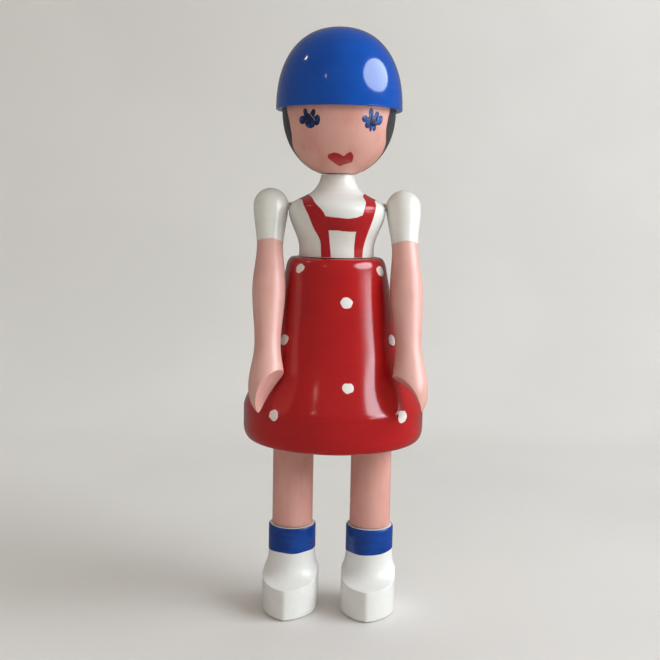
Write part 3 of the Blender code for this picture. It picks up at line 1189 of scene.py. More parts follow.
@dataclass
class HeadAndCap:
    """Turned head and cap with the painted hair and face."""

    seat_height: float = 159.5
    radius: float = 20.0
    drop: float = 23.0
    rise: float = 20.0
    squareness: float = 2.1
    seat_radius: float = 6.2
    bore: Pair = (3.3, 13.8)
    cap_radius: float = 22.3
    cap_height: float = 28.5
    cap_squareness: float = 2.3
    rim_edge: float = 0.35
    fit: float = 0.3
    steps: int = 176
    head_waver: Pair = (13.0, 0.04)
    cap_waver: Pair = (12.0, 0.05)
    hair_film: float = 0.06
    hair_stray: float = 0.7
    mark_film: float = 0.06
    mark_step: float = 0.012
    mark_rim: float = 0.45
    # Extra thickness of the painted sheen touches on the right eye.
    tint_lift: float = 0.1
    centre_lift: float = 0.12
    pupil_lift: float = 0.2
    lips_film: float = 0.09
    lips_rim: float = 0.5
    lips_middle: Pair = (4.0, 164.1)
    glint_film: float = 0.3
    glint_width: float = 0.16
    glint_level: float = 178.5
    hair_right: Line = (
        (66.0, 184.0), (64.4, 180.9), (60.5, 176.6), (62.0, 172.2), (72.0, 168.2),
        (80.0, 164.6), (85.0, 160.6),
    )
    hair_left: Line = (
        (62.0, 184.0), (60.2, 181.1), (57.3, 177.5), (58.6, 173.7), (68.5, 170.0),
        (78.0, 166.0), (84.0, 160.6),
    )
    lips: Line = (
        (-14.9, 164.9), (-13.6, 165.5), (-9.8, 165.9), (-5.3, 166.2), (0.5, 165.9),
        (7.4, 165.1), (10.8, 165.9), (14.8, 166.5), (18.5, 165.9), (20.8, 165.0),
        (21.4, 164.1), (21.0, 163.2), (15.8, 162.8), (9.6, 162.4), (3.1, 161.9),
        (-3.2, 162.4), (-8.4, 163.2), (-12.4, 163.9), (-14.5, 164.4),
    )
    right_petals: tuple[Mark, ...] = (
        (-30.1, 177.5, 1.85, 1.45, 0.0),
        (-34.9, 179.1, 0.88, 1.55, -15.0),
        (-26.6, 178.9, 0.88, 1.5, 20.0),
        (-39.0, 176.9, 1.6, 1.35, -22.0),
        (-22.4, 176.7, 1.1, 1.75, 12.0),
        (-30.4, 175.5, 1.95, 1.4, 0.0),
    )
    left_petals: tuple[Mark, ...] = (
        (34.9, 176.8, 2.7, 1.9, 0.0),
        (32.6, 179.2, 0.95, 1.95, -4.0),
        (39.4, 178.5, 1.1, 1.7, 14.0),
        (44.4, 177.3, 1.3, 1.75, 26.0),
        (26.0, 177.4, 1.15, 1.15, -20.0),
        (30.0, 175.6, 1.25, 1.15, -45.0),
        (33.9, 174.4, 0.52, 1.0, -6.0),
        (38.6, 174.5, 0.64, 0.9, 8.0),
    )
    # Mid-blue touches on the right eye's navy petals: painted sheen.
    right_tints: tuple[Mark, ...] = (
        (-40.3, 177.2, 0.75, 0.65, -30.0),
        (-35.3, 179.6, 0.3, 0.8, -15.0),
        (-21.6, 177.0, 0.4, 1.0, 12.0),
        (-32.6, 174.9, 0.8, 0.45, 10.0),
        (-28.0, 175.4, 0.5, 0.6, 0.0),
    )
    left_centre: tuple[Mark, ...] = (
        (35.0, 176.4, 1.35, 1.25, 0.0),
        (33.0, 178.3, 0.4, 1.0, -4.0),
        (38.4, 175.9, 0.6, 0.8, 20.0),
        (40.0, 178.0, 0.4, 0.9, 14.0),
    )
    # Pale touches round the left eye: painted highlights.
    left_lights: tuple[Mark, ...] = (
        (31.4, 178.4, 0.22, 0.8, -4.0),
        (25.0, 178.0, 0.45, 0.25, -20.0),
        (41.4, 177.9, 0.22, 0.7, 14.0),
        (46.4, 177.6, 0.25, 0.8, 26.0),
        (36.4, 174.8, 0.3, 0.35, 0.0),
    )
    left_pupil: Mark = (35.0, 176.9, 0.6, 0.75, 0.0)
    right_glint: Line = (
        (-32.6, 180.7), (-31.4, 179.6), (-28.8, 178.4), (-26.2, 177.5), (-24.4, 176.6),
    )

    @property
    def rim_height(self) -> float:
        """Height of the head's widest place, where the cap's rim sits."""
        share = 1.0 - (self.seat_radius / self.radius) ** self.squareness
        return self.seat_height + self.drop * share ** (1.0 / self.squareness)

    @cached_property
    def side(self) -> Outline:
        """Outer side of the head, from the crown down to the seat on the neck.

        Returns:
            Radius and height pairs.
        """
        bend = 2.0 / self.squareness
        chin = math.asin((self.seat_radius / self.radius) ** (0.5 * self.squareness))
        crown = superellipse(self.radius, self.rise, self.squareness, 30)
        return lifted(crown, self.rim_height) + [
            (
                self.radius * math.sin(QUARTER + a) ** bend,
                self.rim_height - self.drop * math.cos(QUARTER + a) ** bend,
            )
            for a in fan(chin - QUARTER, 44)[1:]
        ]

    def build_head(self) -> Piece:
        """Turn the head with its dowel bore.

        Returns:
            The head.
        """
        bore, depth = self.bore
        outline = self.side + bored(bore, self.seat_height, depth)
        head = Bench.turn("turned_head", outline, self.steps)
        Bench.waver(head, *self.head_waver)
        return head

    def build_cap(self) -> Piece:
        """Turn the cap, whose hollow follows the head.

        Returns:
            The cap.
        """
        edge = self.rim_edge
        outline = superellipse(self.cap_radius, self.cap_height, self.cap_squareness, 44)[:-1]
        outline += [
            (self.cap_radius - edge * (1.0 - math.cos(a)), edge * (1.0 - math.sin(a)))
            for a in fan(QUARTER, 6)
        ]
        hollow = superellipse(self.radius + self.fit, self.rise + self.fit, self.squareness, 24)
        cap = Bench.turn("turned_cap", lifted(outline + hollow[::-1], self.rim_height), self.steps)
        Bench.waver(cap, *self.cap_waver)
        return cap

    def build_hair(self, head: Piece) -> Piece:
        """Brush the hair round the back, with its uneven front edges.

        Args:
            head: What it is painted on.

        Returns:
            The hair.
        """
        stray = wobble(11, self.hair_stray)

        def spot(across: float, along: float) -> Vector:
            """Place round the back from left to right, and upwards."""
            left, height = along_spline(self.hair_left, 1.0 - along)
            right, right_height = along_spline(self.hair_right, 1.0 - along)
            height += (right_height - height) * across
            edge = stray(along)
            start, end = left + edge, 360.0 - right + edge
            return laid_on(self.side, start + (end - start) * across, height)

        hair = Bench.skin("painted_hair", 150, 46, spot)
        Bench.film(hair, self.hair_film, head)
        return hair

    def touch(self, name: str, mark: Mark, film: float, head: Piece) -> Piece:
        """Paint one touch of the brush.

        Args:
            name: Name of the patch.
            mark: Its place, size and lean.
            film: Paint thickness.
            head: What it is painted on.

        Returns:
            The patch.
        """
        patch = Bench.disc(name, 40, dab(self.side, mark))
        Bench.film(patch, film, head, self.mark_rim)
        return patch

    def build_eye(self, name: str, marks: Sequence[Mark], film: float, head: Piece) -> Piece:
        """Paint one colour of an eye, each touch a little prouder than the last.

        Args:
            name: Name of the paint.
            marks: Its touches in order.
            film: Thickness of the first touch.
            head: What it is painted on.

        Returns:
            All touches of this colour.
        """
        touches = [
            self.touch(f"{name}_{i}", mark, film + self.mark_step * i, head)
            for i, mark in enumerate(marks)
        ]
        return Bench.gather(name, touches)

    def build_lips(self, head: Piece) -> Piece:
        """Paint the lips as one dab.

        Args:
            head: What it is painted on.

        Returns:
            The lips.
        """
        middle = Vector(self.lips_middle)

        def place(polar: Pair) -> Vector:
            """Place between the middle and the edge."""
            share, turn = polar
            edge = Vector(along_spline(self.lips, turn, closed=True))
            return laid_on(self.side, *(middle + (edge - middle) * share))

        lips = Bench.disc("painted_lips", 96, place)
        lips.data.flip_normals()
        Bench.film(lips, self.lips_film, head, self.lips_rim)
        return lips

    def build_glint(self, head: Piece) -> Piece:
        """Draw the fine pale line over the right eye.

        Args:
            head: What it is painted on.

        Returns:
            The line.
        """
        radius = radius_on(self.side, self.glint_level)
        half = math.degrees(0.5 * self.glint_width / radius)

        def spot(across: float, along: float) -> Vector:
            """Place across and along the line."""
            bearing, height = along_spline(self.right_glint, 1.0 - along)
            return laid_on(self.side, bearing + half * (2.0 * across - 1.0), height)

        line = Bench.skin("right_eye_glint", 3, 26, spot)
        Bench.film(line, self.glint_film, head)
        return line

    def build(self) -> None:
        """Make, paint and hand over the head's pieces."""
        head = self.build_head()
        hair = self.build_hair(head)
        film = self.mark_film
        over = film + self.centre_lift
        right_eye = self.build_eye("right_eye_petals", self.right_petals, film, head)
        # The right eye's mid-blue touches are painted sheen on its petals.
        painted_sheen = self.build_eye("right_eye_tints", self.right_tints, film + self.tint_lift, head)
        left_eye = self.build_eye("left_eye_petals", self.left_petals, film, head)
        centre = self.build_eye("left_eye_centre", self.left_centre, over, head)
        # Painted highlights: pale touches round the left eye.
        lights = self.build_eye("left_eye_lights", self.left_lights, over, head)
        pupil = self.touch("left_eye_pupil", self.left_pupil, film + self.pupil_lift, head)
        glint = self.build_glint(head)
        lips = self.build_lips(head)
        cap = self.build_cap()
        body = Body.HEAD.value
        hand_over(head, FACE_FLESH.material(), body, Slot.FLESH, "head")
        hand_over(cap, CAP_BLUE.material(), body, Slot.BLUE, "cap")
        hand_over(hair, HAIR_BLACK.material(), body, Slot.BLUE)
        navy, blue = EYE_NAVY.material(), EYE_BLUE.material()
        for paint, coat in ((right_eye, navy), (painted_sheen, blue), (left_eye, blue), (centre, navy)):
            hand_over(paint, coat, body, Slot.BLUE)
        # The left eye's painted highlights.
        hand_over(lights, EYE_PAINTED_HIGHLIGHT.material(), body, Slot.BLUE)
        hand_over(pupil, PUPIL_MAROON.material(), body, Slot.RED)
        hand_over(glint, GLINT_GREY.material(), body, Slot.IVORY)
        hand_over(lips, LIP_RED.material(), body, Slot.RED)


@dataclass
class Bodice:
    """Turned bodice with the painted straps, and the elastic through its shoulders."""

    waist_height: float = 130.3
    height: float = 28.9
    waist_radius: float = 13.4
    waist_band: float = 2.7
    waist_edge: float = 1.3
    shoulder_radius: float = 17.3
    shoulder_height: float = 16.2
    neck_radius: float = 5.9
    neck_sweep: float = 9.7
    neck_spread: float = 1.5
    shoulder_sweep: float = 5.7
    shoulder_draw: float = 0.4
    neck_bore: Pair = (3.3, 8.5)
    waist_bore: Pair = (5.3, 9.3)
    cross_bore: float = 1.7
    pivot_height: float = 148.0
    arm_x: float = 23.7
    cord_radius: float = 1.4
    knot: Triple = (2.6, 3.4, 0.4)
    steps: int = 160
    waver: Pair = (11.0, 0.04)
    strap_film: float = 0.07
    strap_stray: float = 0.9
    bar_share: float = 0.75
    bar_stray: float = 0.12
    right_outer: Line = (
        (-23.2, 130.45), (-23.4, 133.0), (-24.2, 136.4), (-30.6, 140.2), (-35.2, 144.9),
        (-42.5, 147.9), (-53.8, 149.8), (-71.0, 150.4), (-90.0, 150.5),
    )
    right_inner: Line = (
        (-9.0, 130.45), (-9.6, 133.0), (-10.6, 136.4), (-11.4, 139.9), (-13.8, 144.6),
        (-20.7, 147.5), (-39.0, 150.6), (-66.0, 151.9), (-90.0, 152.2),
    )
    left_outer: Line = (
        (43.0, 130.45), (43.4, 133.0), (45.0, 136.6), (46.0, 141.5), (48.6, 146.2),
        (54.0, 148.6), (61.0, 149.9), (74.0, 150.4), (90.0, 150.5),
    )
    left_inner: Line = (
        (27.4, 130.45), (27.0, 133.0), (26.3, 136.6), (25.9, 139.5), (30.4, 145.2),
        (35.0, 148.4), (49.0, 151.4), (68.0, 152.4), (90.0, 152.6),
    )
    bar_top: Line = (
        (-19.0, 145.0), (-13.8, 144.6), (0.0, 144.3), (13.7, 144.0), (24.0, 144.5),
        (30.5, 145.2), (36.0, 145.6),
    )
    bar_bottom: Line = (
        (-19.0, 139.9), (-11.4, 139.85), (0.0, 139.8), (10.0, 139.65), (20.0, 139.5),
        (25.9, 139.5), (36.0, 139.6),
    )

    @cached_property
    def side(self) -> Outline:
        """Neck, shoulders and waist, from the top down.

        Returns:
            Radius and height pairs.
        """
        neck = Vector((self.neck_radius, 0.0, self.height))
        widest = Vector((self.shoulder_radius, 0.0, self.shoulder_height))
        sweep = interpolate_bezier(
            neck,
            neck + Vector((self.neck_spread, 0.0, -self.neck_sweep)),
            widest + Vector((-self.shoulder_draw, 0.0, self.shoulder_sweep)),
            widest,
            44,
        )
        chest = [
            (self.shoulder_radius, self.shoulder_height),
            (self.waist_radius, self.waist_band),
        ]
        outline = [(point.x, point.z) for point in sweep] + ogee(chest, 30)[1:]
        outline += [(self.waist_radius, self.waist_edge), (self.waist_radius, 0.0)]
        return lifted(outline, self.waist_height)

    @property
    def across(self) -> Matrix:
        """Frame of the axis through both shoulders."""
        return posed((0.0, 0.0, self.pivot_height), (90.0, "Y"))

    def build_turning(self) -> Piece:
        """Turn the bodice and bore it for its dowels.

        Returns:
            The bodice.
        """
        neck, neck_depth = self.neck_bore
        waist, waist_depth = self.waist_bore
        outline = bored(neck, self.waist_height + self.height, -neck_depth)[::-1] + self.side
        outline += bored(waist, self.waist_height, waist_depth)
        bodice = Bench.turn("turned_bodice", outline, self.steps)
        Bench.waver(bodice, *self.waver)
        return bodice

    def build_strap(
        self, name: str, outer: Line, inner: Line, seed: int, bodice: Piece
    ) -> Piece:
        """Paint one strap from the waist, over the shoulder and down the back.

        Args:
            name: Name of the patch.
            outer: Bearing and height of its outer edge, waist to shoulder.
            inner: The same for its inner edge.
            seed: Picks the unevenness of its edges.
            bodice: What it is painted on.

        Returns:
            The painted strap.
        """
        side = math.copysign(1.0, outer[0][0] + inner[0][0])
        stray = (wobble(seed, self.strap_stray), wobble(seed + 1, self.strap_stray))

        def edge(points: Line, share: float, uneven: Callable[[float], float]) -> Pair:
            """Bearing and height on one edge, mirrored behind."""
            front = 1.0 - abs(2.0 * share - 1.0)
            bearing, height = along_spline(points, front)
            if share > 0.5:
                bearing = side * 180.0 - bearing
            return bearing + uneven(share) * (1.0 - front), height + 0.1 * uneven(share)

        def spot(across: float, along: float) -> Vector:
            """Place between the two edges."""
            first = Vector(edge(outer, along, stray[0]))
            second = Vector(edge(inner, along, stray[1]))
            if side > 0.0:
                first, second = second, first
            return laid_on(self.side, *(first + (second - first) * across))

        strap = Bench.skin(name, 10, 130, spot)
        Bench.film(strap, self.strap_film, bodice)
        return strap

    def build_bar(self, bodice: Piece) -> Piece:
        """Paint the band across the chest, a little thinner than the straps.

        Args:
            bodice: What it is painted on.

        Returns:
            The band.
        """
        stray = (wobble(31, self.bar_stray), wobble(32, self.bar_stray))

        def spot(across: float, along: float) -> Vector:
            """Place between the lower and the upper edge."""
            low = Vector(along_spline(self.bar_bottom, across))
            high = Vector(along_spline(self.bar_top, across))
            low.y += stray[0](across)
            high.y += stray[1](across)
            return laid_on(self.side, *(low + (high - low) * along))

        bar = Bench.skin("painted_chest_bar", 60, 12, spot)
        Bench.film(bar, self.bar_share * self.strap_film, bodice)
        return bar

    def build_elastic(self) -> Piece:
        """Turn the cord and its two knots, and lay it across the shoulders.

        Returns:
            The elastic.
        """
        radius, length, out = self.knot
        neck = math.asin(self.cord_radius / radius)
        knot = [
            (radius * math.sin(a), self.arm_x + out + 0.5 * length * math.cos(a))
            for a in fan(math.pi - neck, 16)
        ]
        cord = Bench.turn("shoulder_elastic", knot + [(r, -x) for r, x in reversed(knot)], 36)
        Bench.settle(cord, self.across)
        return cord

    def build(self) -> None:
        """Make, paint and hand over the bodice's pieces."""
        bodice = self.build_turning()
        right = self.build_strap("right_strap", self.right_outer, self.right_inner, 21, bodice)
        left = self.build_strap("left_strap", self.left_outer, self.left_inner, 24, bodice)
        bar = self.build_bar(bodice)
        Bench.carve(bodice, Bench.cylinder(self.cross_bore, 2.0 * self.arm_x, self.across, 40))
        cord = self.build_elastic()
        body = Body.TRUNK.value
        red = STRAP_RED.material()
        hand_over(bodice, IVORY_WHITE.material(), body, Slot.IVORY, "bodice")
        for paint in (right, left, bar):
            hand_over(paint, red, body, Slot.RED)
        hand_over(cord, BraidedElastic().material(), body, Slot.ELASTIC, "arm_elastic")


@dataclass
class Skirt:
    """Turned bell skirt with its painted dots."""

    hem_height: float = 64.7
    height: float = 65.3
    rim_radius: float = 15.6
    roll: Pair = (2.6, 6.0)
    slope: float = 0.19
    drape: float = 44.0
    swell: float = 5.5
    hem_radius: float = 32.7
    upright_height: float = 10.8
    hem_roll: Pair = (2.1, 4.8)
    hem_wall: float = 2.3
    hollow_depth: float = 20.8
    hollow_top_radius: float = 23.5
    hip_bore: Pair = (5.3, 14.0)
    waist_bore: Pair = (5.3, 17.3)
    steps: int = 192
    waver: Pair = (14.0, 0.06)
    dot_film: float = 0.2
    dot_rim: float = 0.25
    dot_stray: float = 0.22
    wall_radius: float = 28.6
    wall_slope: float = 0.22
    coat_roughness: float = 0.14
    dots: tuple[Mark, ...] = (
        (-44.6, 126.5, 2.1, 1.45, -24.0),
        (58.6, 125.8, 2.5, 1.7, 24.0),
        (170.0, 125.9, 2.2, 1.6, -10.0),
        (10.6, 115.5, 2.2, 1.8, 6.0),
        (128.0, 114.6, 2.2, 1.7, 15.0),
        (-112.0, 115.8, 2.1, 1.8, -12.0),
        (-48.1, 101.6, 2.0, 1.85, 0.0),
        (59.1, 101.9, 2.3, 1.8, 0.0),
        (188.0, 101.6, 2.2, 1.8, -16.0),
        (9.6, 87.3, 1.95, 1.7, 12.0),
        (131.0, 87.6, 2.2, 1.7, 10.0),
        (-106.0, 86.2, 2.2, 1.7, -8.0),
        (-38.7, 77.0, 2.05, 1.8, 0.0),
        (47.0, 76.6, 2.3, 2.1, 0.0),
        (174.0, 76.8, 2.2, 1.8, 14.0),
    )

    @cached_property
    def side(self) -> Outline:
        """Roll at the waist, bell, upright and roll at the hem, from the top down.

        Returns:
            Radius and height pairs.
        """
        width, depth = self.roll
        hem_width, hem_depth = self.hem_roll
        outline = [
            (self.rim_radius + width * math.sin(a), self.height - depth * (1.0 - math.cos(a)))
            for a in fan(math.atan2(width, self.slope * depth), 18)
        ]
        waist = Vector((outline[-1][0], 0.0, outline[-1][1]))
        upright = Vector((self.hem_radius, 0.0, self.upright_height))
        bell = interpolate_bezier(
            waist,
            waist + Vector((self.slope * self.drape, 0.0, -self.drape)),
            upright + Vector((0.0, 0.0, self.swell)),
            upright,
            64,
        )
        outline += [(point.x, point.z) for point in bell[1:]]
        roll = superellipse(hem_width, -hem_depth, 2.0, 18)
        outline += [(self.hem_radius - hem_width + r, hem_depth + z) for r, z in roll[::-1]]
        return lifted(outline, self.hem_height)

    def build_turning(self) -> Piece:
        """Turn the skirt with its hollow and bores.

        Returns:
            The skirt.
        """
        bore, depth = self.waist_bore
        hip, hip_depth = self.hip_bore
        hollow_top = self.hem_height + self.hollow_depth
        inner_hem = self.side[-1][0] - self.hem_wall
        outline = bored(bore, self.hem_height + self.height, -depth)[::-1] + self.side
        outline += ogee([(inner_hem, self.hem_height), (self.hollow_top_radius, hollow_top)], 20)
        outline += bored(hip, hollow_top, hip_depth)
        skirt = Bench.turn("turned_skirt", outline, self.steps)
        Bench.waver(skirt, *self.waver)
        return skirt

    def build_dots(self, skirt: Piece) -> Piece:
        """Dab the dots on, each an uneven round.

        Args:
            skirt: What they are painted on.

        Returns:
            All dots.
        """
        made = []
        for i, mark in enumerate(self.dots):
            place = dab(self.side, mark, wobble(100 + i, self.dot_stray))
            made.append(Bench.disc(f"dot_{i}", 44, place))
            Bench.film(made[-1], self.dot_film, skirt, self.dot_rim)
        return Bench.gather("painted_dots", made)

    def material(self) -> Material:
        """Red outside, bare wood with a ragged edge of red inside.

        Returns:
            The material.
        """
        recipe = Recipe(SKIRT_RED.name)
        red, gloss, relief = SKIRT_RED.coat(recipe)
        wood, dull, pores = BEECH.coat(recipe)
        x, y, z = recipe.axes()
        radius = (x * x + y * y).root()
        ragged = recipe.noise((3.0, 3.0, 3.0), 3.0)
        wall = self.wall_radius - (z - self.hem_height) * self.wall_slope
        inside = (radius - wall + ragged * 0.8).between(0.6, 0.1)
        inside = inside * (z - self.hem_height - ragged * 5.0).between(0.0, 0.6)
        inside = inside * z.between(self.hem_height + self.hollow_depth + 30.0, 100.0)
        return recipe.pour(
            recipe.tint(red, wood, inside),
            gloss + (dull - gloss) * inside,
            relief + (pores - relief) * inside,
            IOR=SKIRT_RED.refraction,
            Specular_IOR_Level=SKIRT_RED.undercoat_shine,
            Coat_Weight=(1.0 - inside) * SKIRT_RED.varnish,
            Coat_Roughness=self.coat_roughness,
        )

    def build(self) -> None:
        """Make, paint and hand over the skirt and its dots."""
        skirt = self.build_turning()
        dots = self.build_dots(skirt)
        body = Body.TRUNK.value
        hand_over(skirt, self.material(), body, Slot.RED, "skirt")
        hand_over(dots, DOT_WHITE.material(), body, Slot.IVORY)


@dataclass
class Arm:
    """Turned arm with a carved palm and a painted sleeve."""

    side: Side
    tilt: float
    splay: float
    palm: Triple
    seed: int
    pivot_x: float = 23.7
    pivot_height: float = 148.0
    shoulder_radius: float = 6.1
    elbow: Pair = (4.6, 15.0)
    forearm: Pair = (5.8, 31.5)
    wrist: Pair = (4.5, 51.5)
    hand: Pair = (6.2, 66.0)
    length: float = 76.5
    palm_rise: float = 0.5
    cord_bore: float = 1.7
    pocket: Pair = (3.2, -1.6)
    sleeve_length: float = 14.4
    sleeve_film: float = 0.1
    sleeve_lift: float = 0.01
    sleeve_stray: float = 0.35
    steps: int = 96
    voxel: float = 0.24

    @property
    def pivot_frame(self) -> Matrix:
        """Frame of the shoulder, leaning forward."""
        at = (self.side.value * self.pivot_x, 0.0, self.pivot_height)
        return posed(at, (-self.tilt, "X"))

    @property
    def frame(self) -> Matrix:
        """Frame of the arm's own axis."""
        lean = -self.side.value * math.radians(self.splay)
        return self.pivot_frame @ Matrix.Rotation(lean, 4, "Y")

    @property
    def lie(self) -> Lie:
        """How the arm's grain runs."""
        return Lie(tuple(self.frame.translation), tuple(self.frame.to_euler()))

    def outline(self) -> Outline:
        """Shoulder ball, elbow, forearm, wrist and the egg the hand is cut from.

        Returns:
            Radius and height pairs.
        """
        places = [(self.shoulder_radius, 0.0)]
        places += [(r, -s) for r, s in (self.elbow, self.forearm, self.wrist, self.hand)]
        outline = superellipse(self.shoulder_radius, self.shoulder_radius, 2.0, 20)
        outline += ogee(places, 16)[1:]
        tip = superellipse(self.hand[0], self.hand[1] - self.length, 2.0, 20)
        return outline + lifted(tip[-2::-1], -self.hand[1])

    def build_turning(self) -> Piece:
        """Turn the arm, carve its palm and bore it for the elastic.

        Returns:
            The arm, in its place.
        """
        arm = Bench.turn(f"turned_{self.side.label}_arm", self.outline(), self.steps)
        palm_radius, palm_out, palm_turn = self.palm
        turn = math.radians(palm_turn)
        facing = turn + math.pi if self.side is Side.LEFT else -turn
        centre = (
            palm_out * math.cos(facing),
            palm_out * math.sin(facing),
            self.palm_rise - self.length,
        )
        palm = (
            Matrix.Translation(centre)
            @ Matrix.Rotation(facing, 4, "Z")
            @ Matrix.Rotation(QUARTER, 4, "X")
        )
        Bench.carve(arm, Bench.cylinder(palm_radius, 4.0 * self.hand[0], palm, 240))
        across = Matrix.Rotation(self.side.value * QUARTER, 4, "Y")
        outward = self.frame.inverted() @ self.pivot_frame @ across
        beyond = self.shoulder_radius + CUT_MARGIN
        Bench.carve(arm, Bench.cylinder(self.cord_bore, 2.0 * beyond, outward, 40))
        radius, floor = self.pocket
        middle = outward @ Matrix.Translation((0.0, 0.0, 0.5 * (floor + beyond)))
        Bench.carve(arm, Bench.cylinder(radius, beyond - floor, middle, 48))
        Bench.sand(arm, self.voxel, 6)
        Bench.settle(arm, self.frame)
        return arm

    def build_sleeve(self) -> Piece:
        """Paint the sleeve over the shoulder, down to its uneven edge.

        Returns:
            The sleeve, in its place.
        """
        outline = self.outline()
        frame = self.frame
        stray = wobble(self.seed, self.sleeve_stray)
        span = self.shoulder_radius + self.sleeve_length

        def spot(across: float, along: float) -> Vector:
            """Place round and up the sleeve."""
            drop = (1.0 - along) * (span + stray(across) * (1.0 - along))
            height = self.shoulder_radius - drop
            if height > 0.0:
                angle = QUARTER * min(drop / self.shoulder_radius, 1.0)
                radius = self.shoulder_radius * math.sin(angle)
                height = self.shoulder_radius * math.cos(angle)
            else:
                radius = radius_on(outline, height)
            return frame @ on_turning(360.0 * across, radius + self.sleeve_lift, height)

        sleeve = Bench.skin(f"painted_{self.side.label}_sleeve", 80, 60, spot)
        Bench.film(sleeve, self.sleeve_film)
        return sleeve

    def build(self) -> None:
        """Make, paint and hand over the arm and its sleeve."""
        label = self.side.label
        body = f"{label}_arm"
        arm = self.build_turning()
        sleeve = self.build_sleeve()
        hand_over(arm, ARM_FLESH.material(self.lie), body, Slot.FLESH, f"{label}_arm")
        hand_over(sleeve, SLEEVE_WHITE.material(self.lie), body, Slot.IVORY)


@dataclass
class Leg:
    """Dowel leg on the hip pin, with its carved shoe and painted sock."""

    side: Side
    toe_turn: float
    seed: int
    leg_x: float = 14.35
    hip_height: float = 75.0
    radius: float = 7.45
    length: float = 43.4
    foot_edge: Pair = (0.25, 0.08)
    tenon: Pair = (4.0, 14.0)
    hip_bore: Pair = (1.8, 9.8)
    half_width: float = 10.0
    toe_reach: float = 18.2
    side_reach: float = 4.0
    toe_height: float = 11.5
    toe_rounding: int = 2
    shoe_height: float = 31.3
    sole_edge: float = 0.7
    ankle_radius: float = 8.64
    ankle_base: float = 22.0
    ankle_chamfer: float = 0.4
    cove_squareness: float = 2.7
    socket: float = 4.3
    heel_low: Pair = (9.0, 3.0)
    heel_high: Pair = (22.0, 2.0)
    heel_depth: float = 5.0
    sock_film: float = 0.08
    sock_rise: float = 0.15
    sock_lean: float = 0.45
    sock_stray: float = 0.55
    sock_wall: float = 0.94
    voxel: float = 0.26
    steps: int = 120

    @property
    def shoe_frame(self) -> Matrix:
        """Frame of the shoe, on the floor under the leg."""
        return posed((self.side.value * self.leg_x, 0.0, 0.0), (self.toe_turn, "Z"))

    @property
    def lie(self) -> Lie:
        """How the leg's grain runs."""
        return Lie((self.side.value * self.leg_x, 0.0, 0.0))

    def build_leg(self) -> Piece:
        """Turn the leg and bore it for the hip pin.

        Returns:
            The leg, in its place.
        """
        tenon, tenon_length = self.tenon
        wide, fine = self.foot_edge
        foot = -self.length
        outline = superellipse(self.radius, self.radius, 2.0, 20)
        outline += [(self.radius, foot * i / 24) for i in range(1, 24)]
        outline += [
            (self.radius, foot + wide),
            (self.radius - fine, foot + fine),
            (self.radius - wide, foot),
        ]
        outline += bored(tenon, foot, -tenon_length)
        leg = Bench.turn(f"turned_{self.side.label}_leg", outline, self.steps)
        bore, depth = self.hip_bore
        depth += CUT_MARGIN
        inner = -self.side.value * (self.radius + CUT_MARGIN - 0.5 * depth)
        Bench.carve(leg, Bench.cylinder(bore, depth, posed((inner, 0.0, 0.0), (90.0, "Y")), 40))
        Bench.settle(leg, posed((self.side.value * self.leg_x, 0.0, self.hip_height)))
        return leg

    def plan(self, count: int) -> list[Vector]:
        """Shoe's plan from the middle of the heel, counter-clockwise.

        Args:
            count: Points asked for, evenly spaced.

        Returns:
            Points in the plane of the floor.
        """
        width = self.half_width
        reach = self.toe_reach - self.side_reach
        radius = (width**2 + reach**2) / (2.0 * width)
        half = [Vector((-width * math.sin(a), width * math.cos(a))) for a in fan(QUARTER, 60)]
        for a in fan(math.asin(reach / radius), 80):
            inward = radius - width - radius * math.cos(a)
            half.append(Vector((inward, -self.side_reach - radius * math.sin(a))))
        line = half + [Vector((-p.x, p.y)) for p in reversed(half)][1:]
        lengths = [0.0]
        for a, b in zip(line, line[1:]):
            lengths.append(lengths[-1] + (b - a).length)
        points, k = [], 0
        for i in range(count):
            want = lengths[-1] * i / count
            while lengths[k + 1] < want:
                k += 1
            span = max(lengths[k + 1] - lengths[k], 1e-9)
            points.append(line[k].lerp(line[k + 1], (want - lengths[k]) / span))
        for _ in range(self.toe_rounding):
            ring = points[-1:] + points + points[:1]
            points = [
                b if b.y > -width else (a + b + b + c) / 4.0
                for a, b, c in zip(ring, points, ring[2:])
            ]
        return points

    def cove(self) -> Outline:
        """Ankle, and the cove round it that opens onto the toe.

        Returns:
            Radius and height pairs.
        """
        bend = 2.0 / self.cove_squareness
        reach = self.toe_reach + CUT_MARGIN
        width, depth = reach - self.ankle_radius, self.ankle_base - self.toe_height
        outline = [
            (0.0, self.shoe_height),
            (self.ankle_radius - self.ankle_chamfer, self.shoe_height),
            (self.ankle_radius, self.shoe_height - self.ankle_chamfer),
        ]
        outline += [
            (
                reach - width * abs(math.cos(a)) ** bend,
                self.ankle_base - depth * math.sin(a) ** bend,
            )
            for a in fan(QUARTER, 32)
        ]
        return outline + [(reach, -CUT_MARGIN), (0.0, -CUT_MARGIN)]

    def build_shoe(self) -> Piece:
        """Cut the shoe's block to its plan, turn the ankle and cove, and bore it.

        Returns:
            The shoe, in its place.
        """
        count = 180
        plan = self.plan(count)
        top = self.shoe_height + CUT_MARGIN
        levels = ((0.0, self.sole_edge), (self.sole_edge, 0.0), (top, 0.0))
        rows = len(levels) - 1

        def spot(across: float, along: float) -> Vector:
            """Place on the block's wall."""
            height, inset = levels[round(along * rows)]
            point = plan[round(across * count) % count]
            point = point * (1.0 - inset / point.length)
            return Vector((point.x, point.y, height))

        def heelward(point: Vector) -> float:
            """Share of the rounding, full behind the ankle."""
            (low, rise), (high, fall) = self.heel_low, self.heel_high
            above = smoothstep((point.z - low) / rise) * smoothstep((high - point.z) / fall)
            return above * smoothstep(point.y / self.heel_depth)

